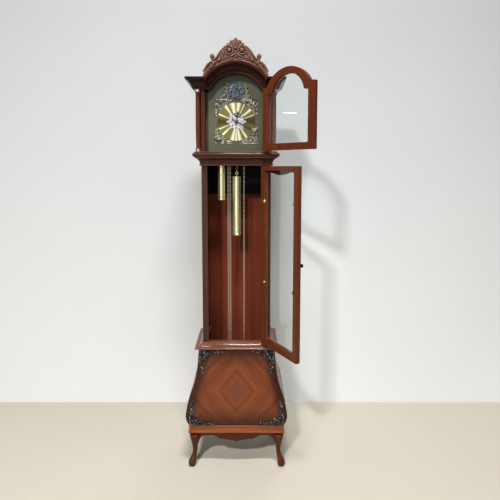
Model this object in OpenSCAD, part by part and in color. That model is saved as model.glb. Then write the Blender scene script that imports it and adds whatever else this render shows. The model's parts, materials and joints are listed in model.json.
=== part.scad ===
// Weight-driven longcase clock with a break-arch hood, a glazed trunk door and a bombe base.
// Z is up, the front faces -Y, and the origin is on the floor at the centre of the four feet.
// The doors stand open: each is drawn closed and then turned about its own hinge pin.

/* [Stack of the case] */
// Height of the legs, floor to plinth moulding
leg_h = 154; // [140:1:170]
// Height of the plinth moulding
plinth_h = 42; // [34:1:48]
// Height of the bombe base
bombe_h = 342; // [320:1:360]
// Height of the cap moulding between base and trunk
cap_h = 24; // [20:1:30]
// Height of the trunk
trunk_h = 806; // [760:1:840]
// Height of the waist moulding between trunk and hood
waist_h = 62; // [54:1:70]
// Height of the hood, waist moulding to cornice
hood_h = 267; // [262:1:275]
// Height of the cornice at the sides
cornice_h = 47; // [44:1:52]

/* [Plan of the case] */
// Width of the trunk
trunk_w = 310; // [300:1:320]
// Depth of the trunk, front face to rear of the back board
trunk_d = 202; // [190:1:215]
// Rear plane of the whole case, measured from the feet's centre
rear_y = 138; // [132:1:146]
// Width of a trunk corner post
post_w = 26; // [24:1:30]
// Thickness of posts, door rails and stiles
frame_t = 20; // [18:1:22]
// Thickness of the case sides
side_t = 12; // [10:1:14]
// Thickness of the back boards
back_t = 8; // [6:1:10]
// Thickness of the bombe boards
bombe_t = 16; // [14:1:18]
// Half width of the base at its neck, under the cap moulding
neck_w = 173; // [168:1:176]
// Half width of the base at its fullest swell
swell_w = 228; // [222:1:234]
// Half width of the base where it meets the plinth moulding
ankle_w = 214; // [208:1:218]

/* [Hood] */
// Half width of the hood's front frame
hood_frame_hw = 152.5; // [151:0.5:154]
// Thickness of the hood sides
hood_side_t = 19.5; // [17:0.5:20]
// How far the hood's front stands before the trunk's front
hood_step = 12; // [10:1:14]
// Half width of the hood door's opening
hood_open_hw = 136; // [135:0.5:138]
// Radius of the opening's arch
arch_r = 127.5; // [126:0.5:128]
// Outer radius of the cornice arch
cornice_arch_r = 164; // [162:1:166]
// How far the cornice stands out
cornice_out = 44; // [38:1:46]
// Radius of the hood's turned columns
column_r = 11.5; // [10:0.5:12]
// Height of the crest above the cornice arch
crest_h = 99; // [90:1:104]

/* [Doors] */
// How far the trunk door stands open, in degrees
trunk_door_open = 122.7; // [0:0.1:165]
// How far the hood door stands open, in degrees
hood_door_open = 136; // [0:0.5:136]
// Width of the trunk door's stiles
trunk_stile_w = 30; // [28:1:36]
// Width of the trunk door's bottom rail
trunk_rail_w = 33; // [28:1:38]
// Width of the hood door's stiles
hood_stile_w = 31; // [28:1:34]
// Width of the hood door's bottom rail
hood_rail_w = 29; // [26:1:32]
// Thickness of the glass
glass_t = 3; // [2:0.5:4]

/* [Dial and hands] */
// Height of the hands' axis above the hood's floor
dial_rise = 134; // [130:1:138]
// Diameter of the brass chapter disc
chapter_d = 168; // [150:1:172]
// Diameter of the silvered centre
centre_d = 92; // [80:1:96]
// Diameter of the boss in the dial's arch
boss_d = 78; // [60:1:80]
// Hour shown by the hands
hour_shown = 12; // [1:1:12]
// Minute shown by the hands
minute_shown = 19.3; // [0:0.1:59.9]

/* [Chains and weights] */
// Wire of the chain links
link_wire = 1.5; // [1.2:0.1:1.7]
// Outer length of a chain link
link_len = 13; // [12.6:0.1:13.4]
// Outer width of a chain link
link_w = 7.6; // [7:0.1:8]
// Radius at which the chain runs over its wheel
chain_r = 15.2; // [15:0.1:15.4]
// Diameter of the strike train's weight
strike_weight_d = 36; // [30:1:42]
// Length of the strike train's weight
strike_weight_len = 229; // [200:1:235]
// Diameter of the going train's weight
going_weight_d = 41; // [36:1:46]
// Length of the going train's weight
going_weight_len = 276; // [240:1:300]
// Links between the strike weight and its chain wheel
strike_links = 7; // [7:2:15]
// Links between the going weight and its chain wheel
going_links = 19; // [7:2:25]
// Links on each free strand
free_links = 116; // [104:2:122]

/* [Hidden] */
$fn = 48;
EPS = 0.01;

// Heights of the joints between the stages, from the floor up.
base_z = leg_h + plinth_h;
cap_z = base_z + bombe_h;
trunk_z = cap_z + cap_h;
waist_z = trunk_z + trunk_h;
hood_z = waist_z + waist_h;
cornice_z = hood_z + hood_h;
top_z = cornice_z + cornice_h;

// Plan lines of the case.
trunk_hw = trunk_w / 2;
front_y = rear_y - trunk_d;
back_y = rear_y - back_t;
open_hw = trunk_hw - post_w;
hood_y = front_y - hood_step;
frame_back_y = hood_y + frame_t;
hood_hw = hood_frame_hw + hood_side_t;

// Arches of the hood, all struck from about the same centre.
arch_z = cornice_z - 56;
cornice_arch_z = top_z - 98;

// Dial and movement.
dial_y = hood_y + 42;
axis_z = hood_z + dial_rise;
boss_z = axis_z + 134;
plate_front_y = dial_y + 14;
movement_d = 77;
plate_rear_y = plate_front_y + movement_d;
plate_t = 2.5;
seat_z = hood_z + 56;
seat_t = 14;
plates_x = [-86, 80];
plates_top_z = axis_z + 96;
chain_y = dial_y + 58;
wheel_z = axis_z - 28;
strike_x = -56.2;
going_x = -16.1;
chime_x = 48;
arbor_r = 2.5;
bush_gap = 0.3;

// Chains: the loop over a wheel has five links, and the strands hang from its two ends.
link_pitch = link_len - 2 * link_wire - 0.15;
loop_step = 36;
// The loop's end link leans outward, so its wire stands a little higher inside the first link.
strand_seat = 0.58;
strand_top_z = wheel_z + chain_r * sin(loop_step / 2) - link_pitch + strand_seat;

// Doors, with the hinge pins standing proud of the front faces.
trunk_pin = [open_hw - 0.9, front_y - 3];
hood_pin = [hood_open_hw - 0.9, hood_y - 10];
trunk_door_x = [-open_hw + 1.5, trunk_pin[0] - 0.9];
trunk_door_z = [trunk_z + 3, waist_z - 2];
hood_door_x = [-hood_open_hw + 2.1, hood_pin[0] - 0.9];
hood_door_z = [hood_z + 2, cornice_z - 1.5];
hood_door_r = arch_r - 3;
pane_arch_r = 82;
pane_arch_z = arch_z + 16;
pane_shoulder_z = cornice_z - 29;
pane_lap = 5;

// Colours of the finishes.
MAHOGANY = "#6b2c1a";
DARK_MAHOGANY = "#3a1a12";
BRASS = "#c9a24a";
STEEL = "#9a9da0";
BLACK = "#1a1a1c";
OLIVE = "#7c7a55";
SILVER = "#b9bcc0";
GLASS = "#c8d8d4";

// ---------------------------------------------------------------- shared shapes

// Point at t on the cubic curve through four control points.
function bez(p, t) =
  pow(1 - t, 3) * p[0] + 3 * t * pow(1 - t, 2) * p[1] + 3 * t * t * (1 - t) * p[2] + pow(t, 3) * p[3];

// Quarter arc from angle a to angle b about a centre, as points.
function arc(c, r, a, b, n = 6) =
  [for (i = [0:n]) c + r * [cos(a + (b - a) * i / n), sin(a + (b - a) * i / n)]];

// Swings what is drawn about a vertical pin.
module swing(pin, angle) {
  translate([pin[0], pin[1], 0]) rotate([0, 0, angle]) translate([-pin[0], -pin[1], 0]) children();
}

// Left and right copies.
module both_sides() {
  children();
  mirror([1, 0, 0]) children();
}

// A flat outline in the X-Z plane, made thick from y0 to y1.
module slab_y(y0, y1) {
  translate([0, y1, 0]) rotate([90, 0, 0]) linear_extrude(y1 - y0) children();
}

// A flat outline in the Y-Z plane, made thick from x0 to x1.
module slab_x(x0, x1) {
  translate([x0, 0, 0]) rotate([90, 0, 90]) linear_extrude(x1 - x0) children();
}

// Front plane of a stage of the case that is hw wide each way: it steps out as far in front
// as it does at the sides.
function face(hw) = front_y + trunk_hw - hw;

// A moulding profile [out, height] carried round the front and both sides with mitred corners.
module mitred_run(profile, hw, face_y, z0, end_y = rear_y) {
  reach = max([for (p = profile) p[0]]) + 1;
  depth = -min([for (p = profile) p[0]]);
  low = min([for (p = profile) p[1]]) - 1;
  tall = max([for (p = profile) p[1]]) + 1 - low;
  translate([0, 0, z0]) {
    intersection() {
      slab_x(-hw - reach, hw + reach)
        polygon([for (p = profile) [face_y - p[0], p[1]]]);
      translate([0, 0, low])
        linear_extrude(tall)
          polygon([[-hw + depth, face_y + depth], [hw - depth, face_y + depth],
                   [hw + reach, face_y - reach], [-hw - reach, face_y - reach]]);
    }
    both_sides() intersection() {
      slab_y(face_y - reach, end_y)
        polygon([for (p = profile) [hw + p[0], p[1]]]);
      translate([0, 0, low])
        linear_extrude(tall)
          polygon([[hw - depth, face_y + depth], [hw - depth, end_y],
                   [hw + reach, end_y], [hw + reach, face_y - reach]]);
    }
  }
}

// ---------------------------------------------------------------- legs and plinth

// Cross-sections of a cabriole leg: height, how far its middle stands in from the edge of the
// base, half size.
LEG_RINGS = [
  [0, 11, 10.5], [4, 11, 14], [12, 10.5, 16.5], [23, 10.8, 17], [32, 13.5, 15], [42, 17.5, 12.4],
  [56, 21.5, 10.8], [70, 23, 10.6], [86, 23, 12], [102, 22.8, 14.4], [120, 22.6, 18.5],
  [136, 22.5, 22], [leg_h, 22.5, 23]
];
LEG_SIDES = 24;
leg_end_in = 19;
foot_x = ankle_w - LEG_RINGS[0][1];
foot_y = rear_y - leg_end_in;
leg_lean = foot_x - foot_y;
knee_x = ankle_w - LEG_RINGS[12][1];
knee_r = LEG_RINGS[12][2];
// The front legs follow the base's front face. With the sizes as given, this shift is nothing.
front_leg_in = 4;
front_leg_shift = face(ankle_w) + front_leg_in + foot_y;
glide_r = 3;
glide_depth = 14;

// A cabriole leg: rings of rounded squares that swell at the knee and turn out at the foot.
module cabriole_leg() {
  squareness = 0.72;
  points = [for (ring = LEG_RINGS) for (i = [0:LEG_SIDES - 1])
    let (a = 360 * (i + 0.5) / LEG_SIDES, c = cos(a), s = sin(a))
    [ankle_w - ring[1] + ring[2] * sign(c) * pow(abs(c), squareness),
     ankle_w - ring[1] - leg_lean + ring[2] * sign(s) * pow(abs(s), squareness), ring[0]]];
  rings = len(LEG_RINGS);
  sides = [for (k = [0:rings - 2]) for (i = [0:LEG_SIDES - 1])
    let (j = (i + 1) % LEG_SIDES, low = k * LEG_SIDES, high = low + LEG_SIDES)
    [low + i, high + i, high + j, low + j]];
  floor_face = [for (i = [0:LEG_SIDES - 1]) i];
  top_face = [for (i = [LEG_SIDES - 1:-1:0]) (rings - 1) * LEG_SIDES + i];
  difference() {
    polyhedron(points, concat(sides, [floor_face, top_face]), convexity = 4);
    translate([foot_x, foot_y, -1]) cylinder(r = glide_r, h = glide_depth + 1);
  }
}

module front_legs() {
  color(MAHOGANY) translate([0, front_leg_shift, 0]) both_sides() mirror([0, 1, 0]) cabriole_leg();
}

module rear_legs() {
  color(MAHOGANY) both_sides() cabriole_leg();
}

apron_drop = 38;
apron_t = 16;
apron_in = 14;
apron_gap = 0.2;
bracket_w = 30;
// Ring of the leg at which the knee bracket ends.
BRACKET_RING = 9;

// Depth of the scalloped edge below the plinth at a fraction u of the way to the bracket.
function scallop(u) =
  u < 0.12 ? apron_drop * (0.93 + 0.07 * cos(u * 180 / 0.12)) :
  u < 0.5 ? apron_drop * (0.77 + 0.09 * cos((u - 0.12) * 180 / 0.38)) :
  u < 0.8 ? apron_drop * (0.44 + 0.24 * cos((u - 0.5) * 180 / 0.3)) : apron_drop * 0.2;

// Half of a board's edge, from the middle out: the scallops, the hollow of the knee bracket,
// and the end, which follows the inner side of the leg up to the plinth.
function board_edge(half_len) =
  let (steps = 26, flat_len = half_len - bracket_w,
    end = [for (k = [BRACKET_RING:len(LEG_RINGS) - 1]) let (ring = LEG_RINGS[k])
      [half_len + ankle_w - knee_x + knee_r - ring[1] - ring[2], ring[0] - leg_h]])
  concat([for (i = [0:steps]) [flat_len * i / steps, -scallop(i / steps)]],
    [for (i = [1:5]) bez([[flat_len, -scallop(1)], [half_len - bracket_w / 3, -scallop(1)],
      [end[0][0] - bracket_w / 5, end[0][1] / 2], end[0]], i / 6)], end);

// A board scalloped along its lower edge, with a bracket at each end, hung between two legs.
module scalloped_board(half_len) {
  edge = board_edge(half_len);
  polygon(concat(edge, [for (i = [len(edge) - 1:-1:1]) [-edge[i][0], edge[i][1]]]));
}

module aprons() {
  color(MAHOGANY) translate([0, 0, leg_h]) {
    translate([0, face(ankle_w - apron_in + 4), 0]) slab_y(-apron_t / 2, apron_t / 2)
      scalloped_board(knee_x - knee_r - apron_gap);
    both_sides() translate([ankle_w - apron_in, front_leg_shift / 2, 0])
      slab_x(-apron_t / 2, apron_t / 2)
        scalloped_board(knee_x - leg_lean - knee_r - apron_gap - front_leg_shift / 2);
  }
}

// A rounded lip at the bottom, a long hollow above it and a fillet under the bombe boards.
module plinth_moulding() {
  profile = concat(
    [[-bombe_t, 0], [-6, 0], [-3, 3]],
    arc([0, 10], 6, -90, 40),
    [for (i = [0:5]) bez([[3.5, 17], [1.5, 21], [0.5, 28], [0.5, 34]], i / 5)],
    [[3, 35], [3, plinth_h - 3], [1, plinth_h], [-bombe_t, plinth_h]]);
  color(MAHOGANY) mitred_run(profile, ankle_w, face(ankle_w), leg_h);
}

// ---------------------------------------------------------------- bombe base

// Half width of the base along its height: an upper curve that flares, and a short lower
// curve that turns back in under the swell.
swell_z = base_z + 57;
BOMBE_STEPS = 22;
BOMBE = concat(
  [for (i = [0:BOMBE_STEPS]) bez([[neck_w, cap_z], [neck_w + 11, cap_z - 209],
    [swell_w - 17, swell_z + 136], [swell_w, swell_z]], i / BOMBE_STEPS)],
  [for (i = [1:8]) bez([[swell_w, swell_z], [swell_w + 2, swell_z - 16],
    [ankle_w + 9, base_z + 14], [ankle_w, base_z]], i / 8)]);

// Outline of the base seen from the front, taken in by an inset.
module bombe_outline(inset = 0) {
  polygon(concat([for (p = BOMBE) [p[0] - inset, p[1]]],
                 [for (i = [len(BOMBE) - 1:-1:0]) [inset - BOMBE[i][0], BOMBE[i][1]]]));
}

// Everything behind the base's swelling front, seen from the side.
module bombe_side_outline(inset = 0, end_y = rear_y) {
  polygon(concat([for (p = BOMBE) [face(p[0]) + inset, p[1]]],
                 [[end_y, base_z], [end_y, cap_z]]));
}

module bombe_front() {
  color(MAHOGANY) intersection() {
    slab_y(face(swell_w) - 1, front_y + 40) bombe_outline();
    slab_x(-swell_w - 1, swell_w + 1) difference() {
      bombe_side_outline();
      bombe_side_outline(bombe_t, rear_y + 1);
    }
  }
}

module bombe_sides() {
  color(MAHOGANY) both_sides() intersection() {
    slab_y(face(swell_w) - 1, rear_y) difference() {
      bombe_outline();
      bombe_outline(bombe_t);
      translate([-swell_w - 10, base_z - 1]) square([swell_w + 10, bombe_h + 2]);
    }
    slab_x(0, swell_w + 1) bombe_side_outline(bombe_t);
  }
}

module base_back_board() {
  color(DARK_MAHOGANY) slab_y(back_y, rear_y) bombe_outline(bombe_t);
}

module base_floor() {
  inner = ankle_w - bombe_t;
  color(DARK_MAHOGANY) translate([-inner, face(ankle_w) + bombe_t, leg_h + plinth_h - 22])
    cube([2 * inner, rear_y - face(ankle_w) - bombe_t, 12]);
}

// ---------------------------------------------------------------- carvings on the base

carving_t = 6;

// Silhouette of one corner carving, from the corner at the origin along +X and +Y: round
// lobes that shrink away from the corner, a leaf off every other lobe, and a corner scroll.
module carving_outline() {
  lobes = 8;
  for (i = [0:lobes]) {
    along = 10 + 12 * i;
    lobe_r = 10 - 0.45 * i;
    wander = 10 + 2 * (i % 2);
    translate([along, wander]) circle(r = lobe_r, $fn = 24);
    translate([wander, along * 0.92]) circle(r = lobe_r * 0.94, $fn = 24);
  }
  translate([22, 22]) circle(r = 9, $fn = 24);
  translate([16, 16]) rotate(45) translate([-6, 0]) leaf(36, 14);
  for (i = [1:2:5]) {
    translate([14 + 14 * i, 12]) rotate(38) leaf(22, 9);
    translate([12, 14 + 13 * i]) rotate(52) leaf(22, 9);
  }
}

// One corner carving: the silhouette, as thick as the band that hugs the swelling front.
module corner_carving(edge_z, edge_hw, dir) {
  intersection() {
    slab_y(face(swell_w) - 20, front_y)
      translate([edge_hw - 3, edge_z]) scale([-1, dir]) carving_outline();
    slab_x(0, swell_w + 12) difference() {
      bombe_side_outline(-carving_t, rear_y);
      bombe_side_outline(-0.02, rear_y + 1);
    }
  }
}

module base_carvings() {
  color(DARK_MAHOGANY) both_sides() {
    corner_carving(cap_z - 0.5, neck_w, -1);
    corner_carving(base_z + 0.5, ankle_w + 2, 1);
  }
}

// ---------------------------------------------------------------- trunk

cap_inner_hw = open_hw + 8;

// A thin lip over the base, a hollow above it and a bead against the trunk.
module cap_moulding() {
  lip = 36;
  inner = cap_inner_hw - trunk_hw;
  profile = concat(
    [[inner, 0], [lip - 4, 0]],
    arc([lip - 4, 4], 4, -90, 90, 8),
    [[lip - 10, 8], [lip - 10, 10]],
    [for (i = [0:6]) bez([[24, 10], [16, 11], [11, 14], [9, 19]], i / 6)],
    [[6, 19], [6, cap_h], [inner, cap_h]]);
  color(MAHOGANY) mitred_run(profile, trunk_hw, front_y, cap_z);
}

module trunk_posts() {
  color(MAHOGANY) both_sides() translate([open_hw, front_y, trunk_z])
    cube([post_w, frame_t, trunk_h]);
}

module trunk_sides() {
  color(MAHOGANY) both_sides() translate([trunk_hw - side_t, front_y + frame_t, trunk_z])
    cube([side_t, back_y - front_y - frame_t, trunk_h]);
}

// The board runs on behind both mouldings, narrowed to fit between their returns.
module trunk_back_board() {
  color(MAHOGANY) slab_y(back_y, rear_y) {
    translate([-trunk_hw, trunk_z]) square([trunk_w, trunk_h]);
    translate([-cap_inner_hw, cap_z]) square([2 * cap_inner_hw, cap_h + 1]);
    translate([side_t - trunk_hw, waist_z - 1]) square([trunk_w - 2 * side_t, waist_h + 1]);
  }
}

// A bead against the trunk, a broad hollow, two fillets and a half-round lip.
module waist_moulding() {
  lip = 36;
  profile = concat(
    [[-side_t, 0], [5, 0]],
    arc([5, 4], 4, -90, 90, 6),
    [[5, 8], [5, 11]],
    [for (i = [0:8]) bez([[6, 11], [7, 22], [13, 30], [24, 33]], i / 8)],
    [[24, 36], [28, 36], [28, 39]],
    arc([lip - 9, 48], 9, -90, 90, 10),
    [[lip - 9, waist_h - 3], [lip - 11, waist_h], [-side_t, waist_h]]);
  color(MAHOGANY) mitred_run(profile, trunk_hw, front_y, waist_z);
}

// ---------------------------------------------------------------- hood

module hood_sides() {
  color(MAHOGANY) both_sides() translate([hood_frame_hw, frame_back_y - 4, hood_z])
    cube([hood_side_t, rear_y - frame_back_y + 4, hood_h]);
}

// Outline of the hood under its cornice: straight shoulders and a segmental arch.
module hood_outline(half_w, arch_radius, shoulder_z, centre_z = cornice_arch_z) {
  translate([-half_w, hood_z]) square([2 * half_w, shoulder_z - hood_z]);
  intersection() {
    translate([0, centre_z]) circle(r = arch_radius, $fn = 96);
    translate([-half_w, shoulder_z - 1]) square([2 * half_w, arch_radius * 2]);
  }
}

module hood_back_board() {
  color(DARK_MAHOGANY) slab_y(back_y, rear_y)
    hood_outline(hood_frame_hw, cornice_arch_r - 6, top_z - 6);
}

// The opening that the hood door closes.
module door_opening(gap = 0) {
  translate([-hood_open_hw + gap, hood_z - 1])
    square([2 * (hood_open_hw - gap), cornice_z - hood_z + 1 - gap]);
  intersection() {
    translate([0, arch_z]) circle(r = arch_r - gap, $fn = 96);
    translate([-arch_r, cornice_z - 10]) square([2 * arch_r, arch_r]);
  }
}

module hood_frame() {
  color(MAHOGANY) slab_y(hood_y, frame_back_y) difference() {
    hood_outline(hood_frame_hw, cornice_arch_r - 6, top_z - 6);
    door_opening();
  }
}

column_x = hood_frame_hw + column_r + 2;
column_y = hood_y;
cap_tall = 12;

// A turned column: a slightly swelled shaft between two rings.
module hood_columns() {
  shaft = hood_h - 2 * cap_tall;
  color(MAHOGANY) both_sides() translate([column_x, column_y, hood_z + cap_tall])
    rotate_extrude() polygon(concat(
      [[0, 0], [column_r, 0], [column_r, 3], [column_r - 2.4, 5]],
      [for (i = [0:12]) [column_r - 2.2 + 1.1 * sin(180 * i / 12), 8 + (shaft - 16) * i / 12]],
      [[column_r - 2.4, shaft - 5], [column_r, shaft - 3], [column_r, shaft], [0, shaft]]));
}

module column_caps() {
  color(BRASS) both_sides() for (z = [hood_z, cornice_z - cap_tall])
    translate([column_x, column_y, z]) rotate_extrude() polygon(concat(
      [[0, 0], [column_r + 1.6, 0], [column_r + 1.6, 3]],
      arc([column_r - 1, cap_tall / 2], 1.6, -70, 70, 5),
      [[column_r + 1.6, cap_tall - 3], [column_r + 1.6, cap_tall], [0, cap_tall]]));
}

// Cornice section below its top edge: a flat foot, a deep hollow and a square lip.
function cornice_profile(tall, foot) = concat(
  [[0, -tall], [foot, -tall], [foot, -tall + 6]],
  [for (i = [0:7]) bez([[foot + 2, -tall + 7], [foot + 6, -tall + 20],
    [cornice_out - 16, -15], [cornice_out - 5, -12]], i / 7)],
  [[cornice_out - 3, -9], [cornice_out, -9], [cornice_out, 0], [0, 0]]);

cornice_foot_x = sqrt(pow(cornice_arch_r, 2) - pow(top_z - cornice_arch_z, 2));
cornice_arch_tall = cornice_arch_r - arch_r - 3;

module cornice_sides() {
  color(DARK_MAHOGANY) difference() {
    mitred_run(cornice_profile(cornice_h, 15), hood_hw, hood_y, top_z);
    translate([-cornice_foot_x, hood_y - 60, cornice_z - 1])
      cube([2 * cornice_foot_x, 61, cornice_h + 2]);
    both_sides() translate([hood_frame_hw, hood_y, cornice_z - 1])
      cube([hood_side_t, 20, cornice_h + 2]);
  }
}

module cornice_arch() {
  profile = cornice_profile(cornice_arch_tall, 6);
  color(DARK_MAHOGANY) intersection() {
    translate([0, hood_y, cornice_arch_z]) rotate([90, 0, 0])
      rotate_extrude($fn = 120)
        polygon([for (p = profile) [cornice_arch_r + p[1], p[0]]]);
    translate([-cornice_foot_x, hood_y - 60, cornice_z])
      cube([2 * cornice_foot_x, 60, 200]);
  }
}

module hood_roof() {
  color(DARK_MAHOGANY) slab_y(hood_y, rear_y) {
    difference() {
      hood_outline(hood_hw, cornice_arch_r, top_z);
      hood_outline(hood_hw + 1, cornice_arch_r - 6, top_z - 6);
    }
    both_sides() translate([hood_frame_hw, cornice_z])
      square([hood_side_t, cornice_h - 6]);
  }
}

// ---------------------------------------------------------------- crest

CREST_T = 12;
crest_back_y = hood_y - 12;
crest_top = cornice_arch_z + cornice_arch_r + crest_h;
boss_x = 26.5;
boss_up = crest_h - 53;
bud_x = 71;
bud_up = 5;
knob_x = 100;
knob_z = crest_top - crest_h + 22;

// A leaf outline: a pointed oval of a length and width, lying along +X from its root.
module leaf(length, width) {
  steps = 10;
  edge = [for (i = [0:steps]) [length * i / steps, width / 2 * pow(sin(180 * i / steps), 0.7)]];
  polygon(concat(edge, [for (i = [steps - 1:-1:1]) [edge[i][0], -edge[i][1]]]));
}

// One side of the carved crest, seen from the front: a shell of petals over a smooth hood
// that sweeps down into a long leaf over the arch, with a knob on a stem.
module crest_half() {
  arch_top = cornice_arch_z + cornice_arch_r;
  hood_curve = [for (i = [0:12]) bez([[34, 74], [64, 65], [74, 35], [88, 13]], i / 12)];
  long_leaf = [for (i = [1:10]) bez([[88, 13], [104, -2], [124, -8], [137, -50]], i / 10)];
  translate([0, arch_top]) {
    polygon(concat([[0, -60], [0, crest_h - 9], [10, crest_h - 9], [24, crest_h - 18]],
                   hood_curve, long_leaf, [[134, -60]]));
    translate([0, crest_h - 7.5]) circle(r = 7.5);
    translate([18.5, crest_h - 16]) circle(r = 7);
    translate([31, crest_h - 28]) circle(r = 7);
    for (i = [2:2:8]) translate(long_leaf[i]) circle(r = 4);
    translate([knob_x, knob_z - arch_top]) circle(r = 10.5);
    translate([knob_x - 4, knob_z - arch_top - 14]) circle(r = 8);
    translate([125, -26]) rotate(-36) leaf(22, 9);
    translate([134, -46]) rotate(-80) leaf(20, 11);
  }
}

module crest() {
  arch_top = cornice_arch_z + cornice_arch_r;
  front = crest_back_y - CREST_T;
  color(DARK_MAHOGANY) {
    slab_y(front, crest_back_y) difference() {
      union() {
        crest_half();
        mirror([1, 0]) crest_half();
      }
      translate([0, cornice_arch_z]) circle(r = cornice_arch_r + 0.05, $fn = 120);
      translate([-200, top_z - 199.9]) square([400, 200]);
    }
    both_sides() {
      // Round bosses with a scroll about each.
      translate([boss_x, front, arch_top + boss_up]) rotate([90, 0, 0]) {
        rotate_extrude() translate([14, 0]) circle(r = 3, $fn = 16);
        cylinder(r1 = 9, r2 = 5, h = 7);
      }
      translate([knob_x, front, knob_z]) rotate([90, 0, 0]) cylinder(r1 = 8, r2 = 4, h = 5);
      translate([bud_x, front, arch_top + bud_up]) rotate([90, 0, 0])
        cylinder(r1 = 8, r2 = 4, h = 5);
      // The long leaf's midrib follows the arch.
      intersection() {
        translate([0, front, cornice_arch_z]) rotate([90, 0, 0]) rotate_extrude($fn = 120)
          translate([cornice_arch_r + 9, 0]) circle(r = 3, $fn = 16);
        translate([78, front - 10, top_z + 6]) cube([70, 20, 60]);
      }
    }
    // Ribs of the palmette.
    slab_y(front - 3, front) for (petal = [-2:2])
      translate([0, crest_top - 36]) rotate(90 - 33 * petal) translate([8, -2]) square([22, 4]);
  }
}

// ---------------------------------------------------------------- dial

// The liner is the wooden tunnel between the door's opening and the dial.
module dial_liner() {
  liner_t = 8;
  color(DARK_MAHOGANY) slab_y(frame_back_y, dial_y) difference() {
    union() {
      translate([-hood_open_hw - liner_t, hood_z])
        square([2 * (hood_open_hw + liner_t), hood_h - 4]);
      intersection() {
        translate([0, arch_z]) circle(r = arch_r + liner_t, $fn = 96);
        translate([-hood_open_hw, cornice_z - 10]) square([2 * hood_open_hw, arch_r]);
      }
    }
    door_opening();
  }
}

DIAL_T = 1.5;
hour_pipe_r = 4;

// A brass plate with an arched head, held to the movement by four feet.
module dial_plate() {
  color(OLIVE) {
    slab_y(dial_y, dial_y + DIAL_T) difference() {
      union() {
        translate([-hood_open_hw - 5, hood_z + 1]) square([2 * hood_open_hw + 10, hood_h - 6]);
        intersection() {
          translate([0, arch_z]) circle(r = arch_r + 5, $fn = 96);
          translate([-hood_open_hw, cornice_z - 10]) square([2 * hood_open_hw, arch_r]);
        }
      }
      translate([0, axis_z]) circle(r = hour_pipe_r + 1);
    }
    for (x = [plates_x[0] + 12, plates_x[1] - 12], z = [seat_z + seat_t + 16, plates_top_z - 12])
      translate([x, plate_front_y, z]) rotate([90, 0, 0])
        cylinder(r = 3, h = plate_front_y - dial_y - DIAL_T);
  }
}

module chapter_disc() {
  color(BRASS) translate([0, dial_y, axis_z]) rotate([90, 0, 0]) difference() {
    union() {
      cylinder(d = chapter_d, h = 1.4, $fn = 96);
      rotate_extrude($fn = 96) translate([chapter_d / 2 - 1.5, 1.4]) circle(r = 0.7, $fn = 16);
    }
    translate([0, 0, -1]) cylinder(r = hour_pipe_r + 1, h = 4);
  }
}

module dial_centre() {
  color(SILVER) translate([0, dial_y - 1.4, axis_z]) rotate([90, 0, 0]) difference() {
    cylinder(d = centre_d, h = 0.8, $fn = 96);
    translate([0, 0, -1]) cylinder(r = hour_pipe_r + 1, h = 4);
  }
}

module arch_boss() {
  color(SILVER) translate([0, dial_y, boss_z]) rotate([90, 0, 0]) {
    cylinder(d = boss_d, h = 1, $fn = 96);
    rotate_extrude($fn = 96) translate([boss_d / 2 - 3, 1.2]) circle(r = 1.2, $fn = 16);
    cylinder(d1 = boss_d - 14, d2 = boss_d - 30, h = 3, $fn = 96);
  }
}

spandrel_x = 96;
spandrel_z = 98;

// One cast corner, drawn from its outer corner at the origin: a web that narrows along both
// edges, with a row of lobes on each edge and piercings between the scrolls.
module spandrel() {
  lobes = 7;
  difference() {
    union() {
      polygon([[-2, -2], [-76, -2], [-74, -6], [-60, -14], [-38, -28],
               [-28, -38], [-14, -60], [-6, -74], [-2, -76]]);
      for (i = [0:lobes]) {
        along = 4 + 10 * i;
        lobe_r = 5.6 - 0.3 * i;
        translate([-along, -lobe_r]) circle(r = lobe_r, $fn = 20);
        translate([-lobe_r, -along]) circle(r = lobe_r, $fn = 20);
      }
    }
    translate([-14, -14]) circle(r = 4.5, $fn = 20);
    for (i = [0:2]) {
      translate([-27 - 12 * i, -11 + i]) circle(r = 3.4 - 0.5 * i, $fn = 20);
      translate([-11 + i, -27 - 12 * i]) circle(r = 3.4 - 0.5 * i, $fn = 20);
    }
  }
}

// The bracket beside the boss: a tall scroll that leans on the boss and stands on the corners.
module boss_bracket() {
  difference() {
    union() {
      polygon([[22, -35], [72, -34], [58, -12], [45, 20], [38, 30], [34, 6]]);
      for (i = [0:5]) translate([71 - 6 * i, -31 + 11.5 * i]) circle(r = 5, $fn = 20);
      translate([37, 29]) circle(r = 5, $fn = 20);
    }
    for (i = [0:2]) translate([56 - 6 * i, -27 + 12 * i]) circle(r = 3.2 - 0.4 * i, $fn = 20);
  }
}

module spandrels() {
  color(BRASS) slab_y(dial_y - 2.4, dial_y) difference() {
    union() {
      for (sx = [-1, 1], sz = [-1, 1])
        translate([0, axis_z]) scale([sx, sz]) translate([spandrel_x, spandrel_z]) spandrel();
      for (sx = [-1, 1]) translate([0, boss_z]) scale([sx, 1]) boss_bracket();
    }
    translate([0, axis_z]) circle(d = chapter_d + 1, $fn = 96);
    translate([0, boss_z]) circle(d = boss_d + 1, $fn = 96);
  }
}

// ---------------------------------------------------------------- movement

// The board that carries the movement, on two battens, with slots for the chains and leader.
module seat_board() {
  color(DARK_MAHOGANY) difference() {
    union() {
      translate([-hood_frame_hw, plate_front_y - 2, seat_z])
        cube([2 * hood_frame_hw, rod_y - plate_front_y - 12, seat_t]);
      both_sides() translate([hood_frame_hw - 20, plate_front_y - 2, seat_z - 20])
        cube([20, rod_y - plate_front_y - 12, 20]);
    }
    slot_hw = chain_r + 4.6;
    for (x = [strike_x, going_x, chime_x]) translate([x - slot_hw, chain_y - 8, seat_z - 1])
      cube([2 * slot_hw, 16, seat_t + 2]);
    translate([pallet_x - 16, leader_y - 5, seat_z - 1]) cube([32, 10, seat_t + 2]);
  }
}

pallet_z = axis_z + 76;
pallet_x = 18;
leader_y = plate_rear_y + 8;

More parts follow.
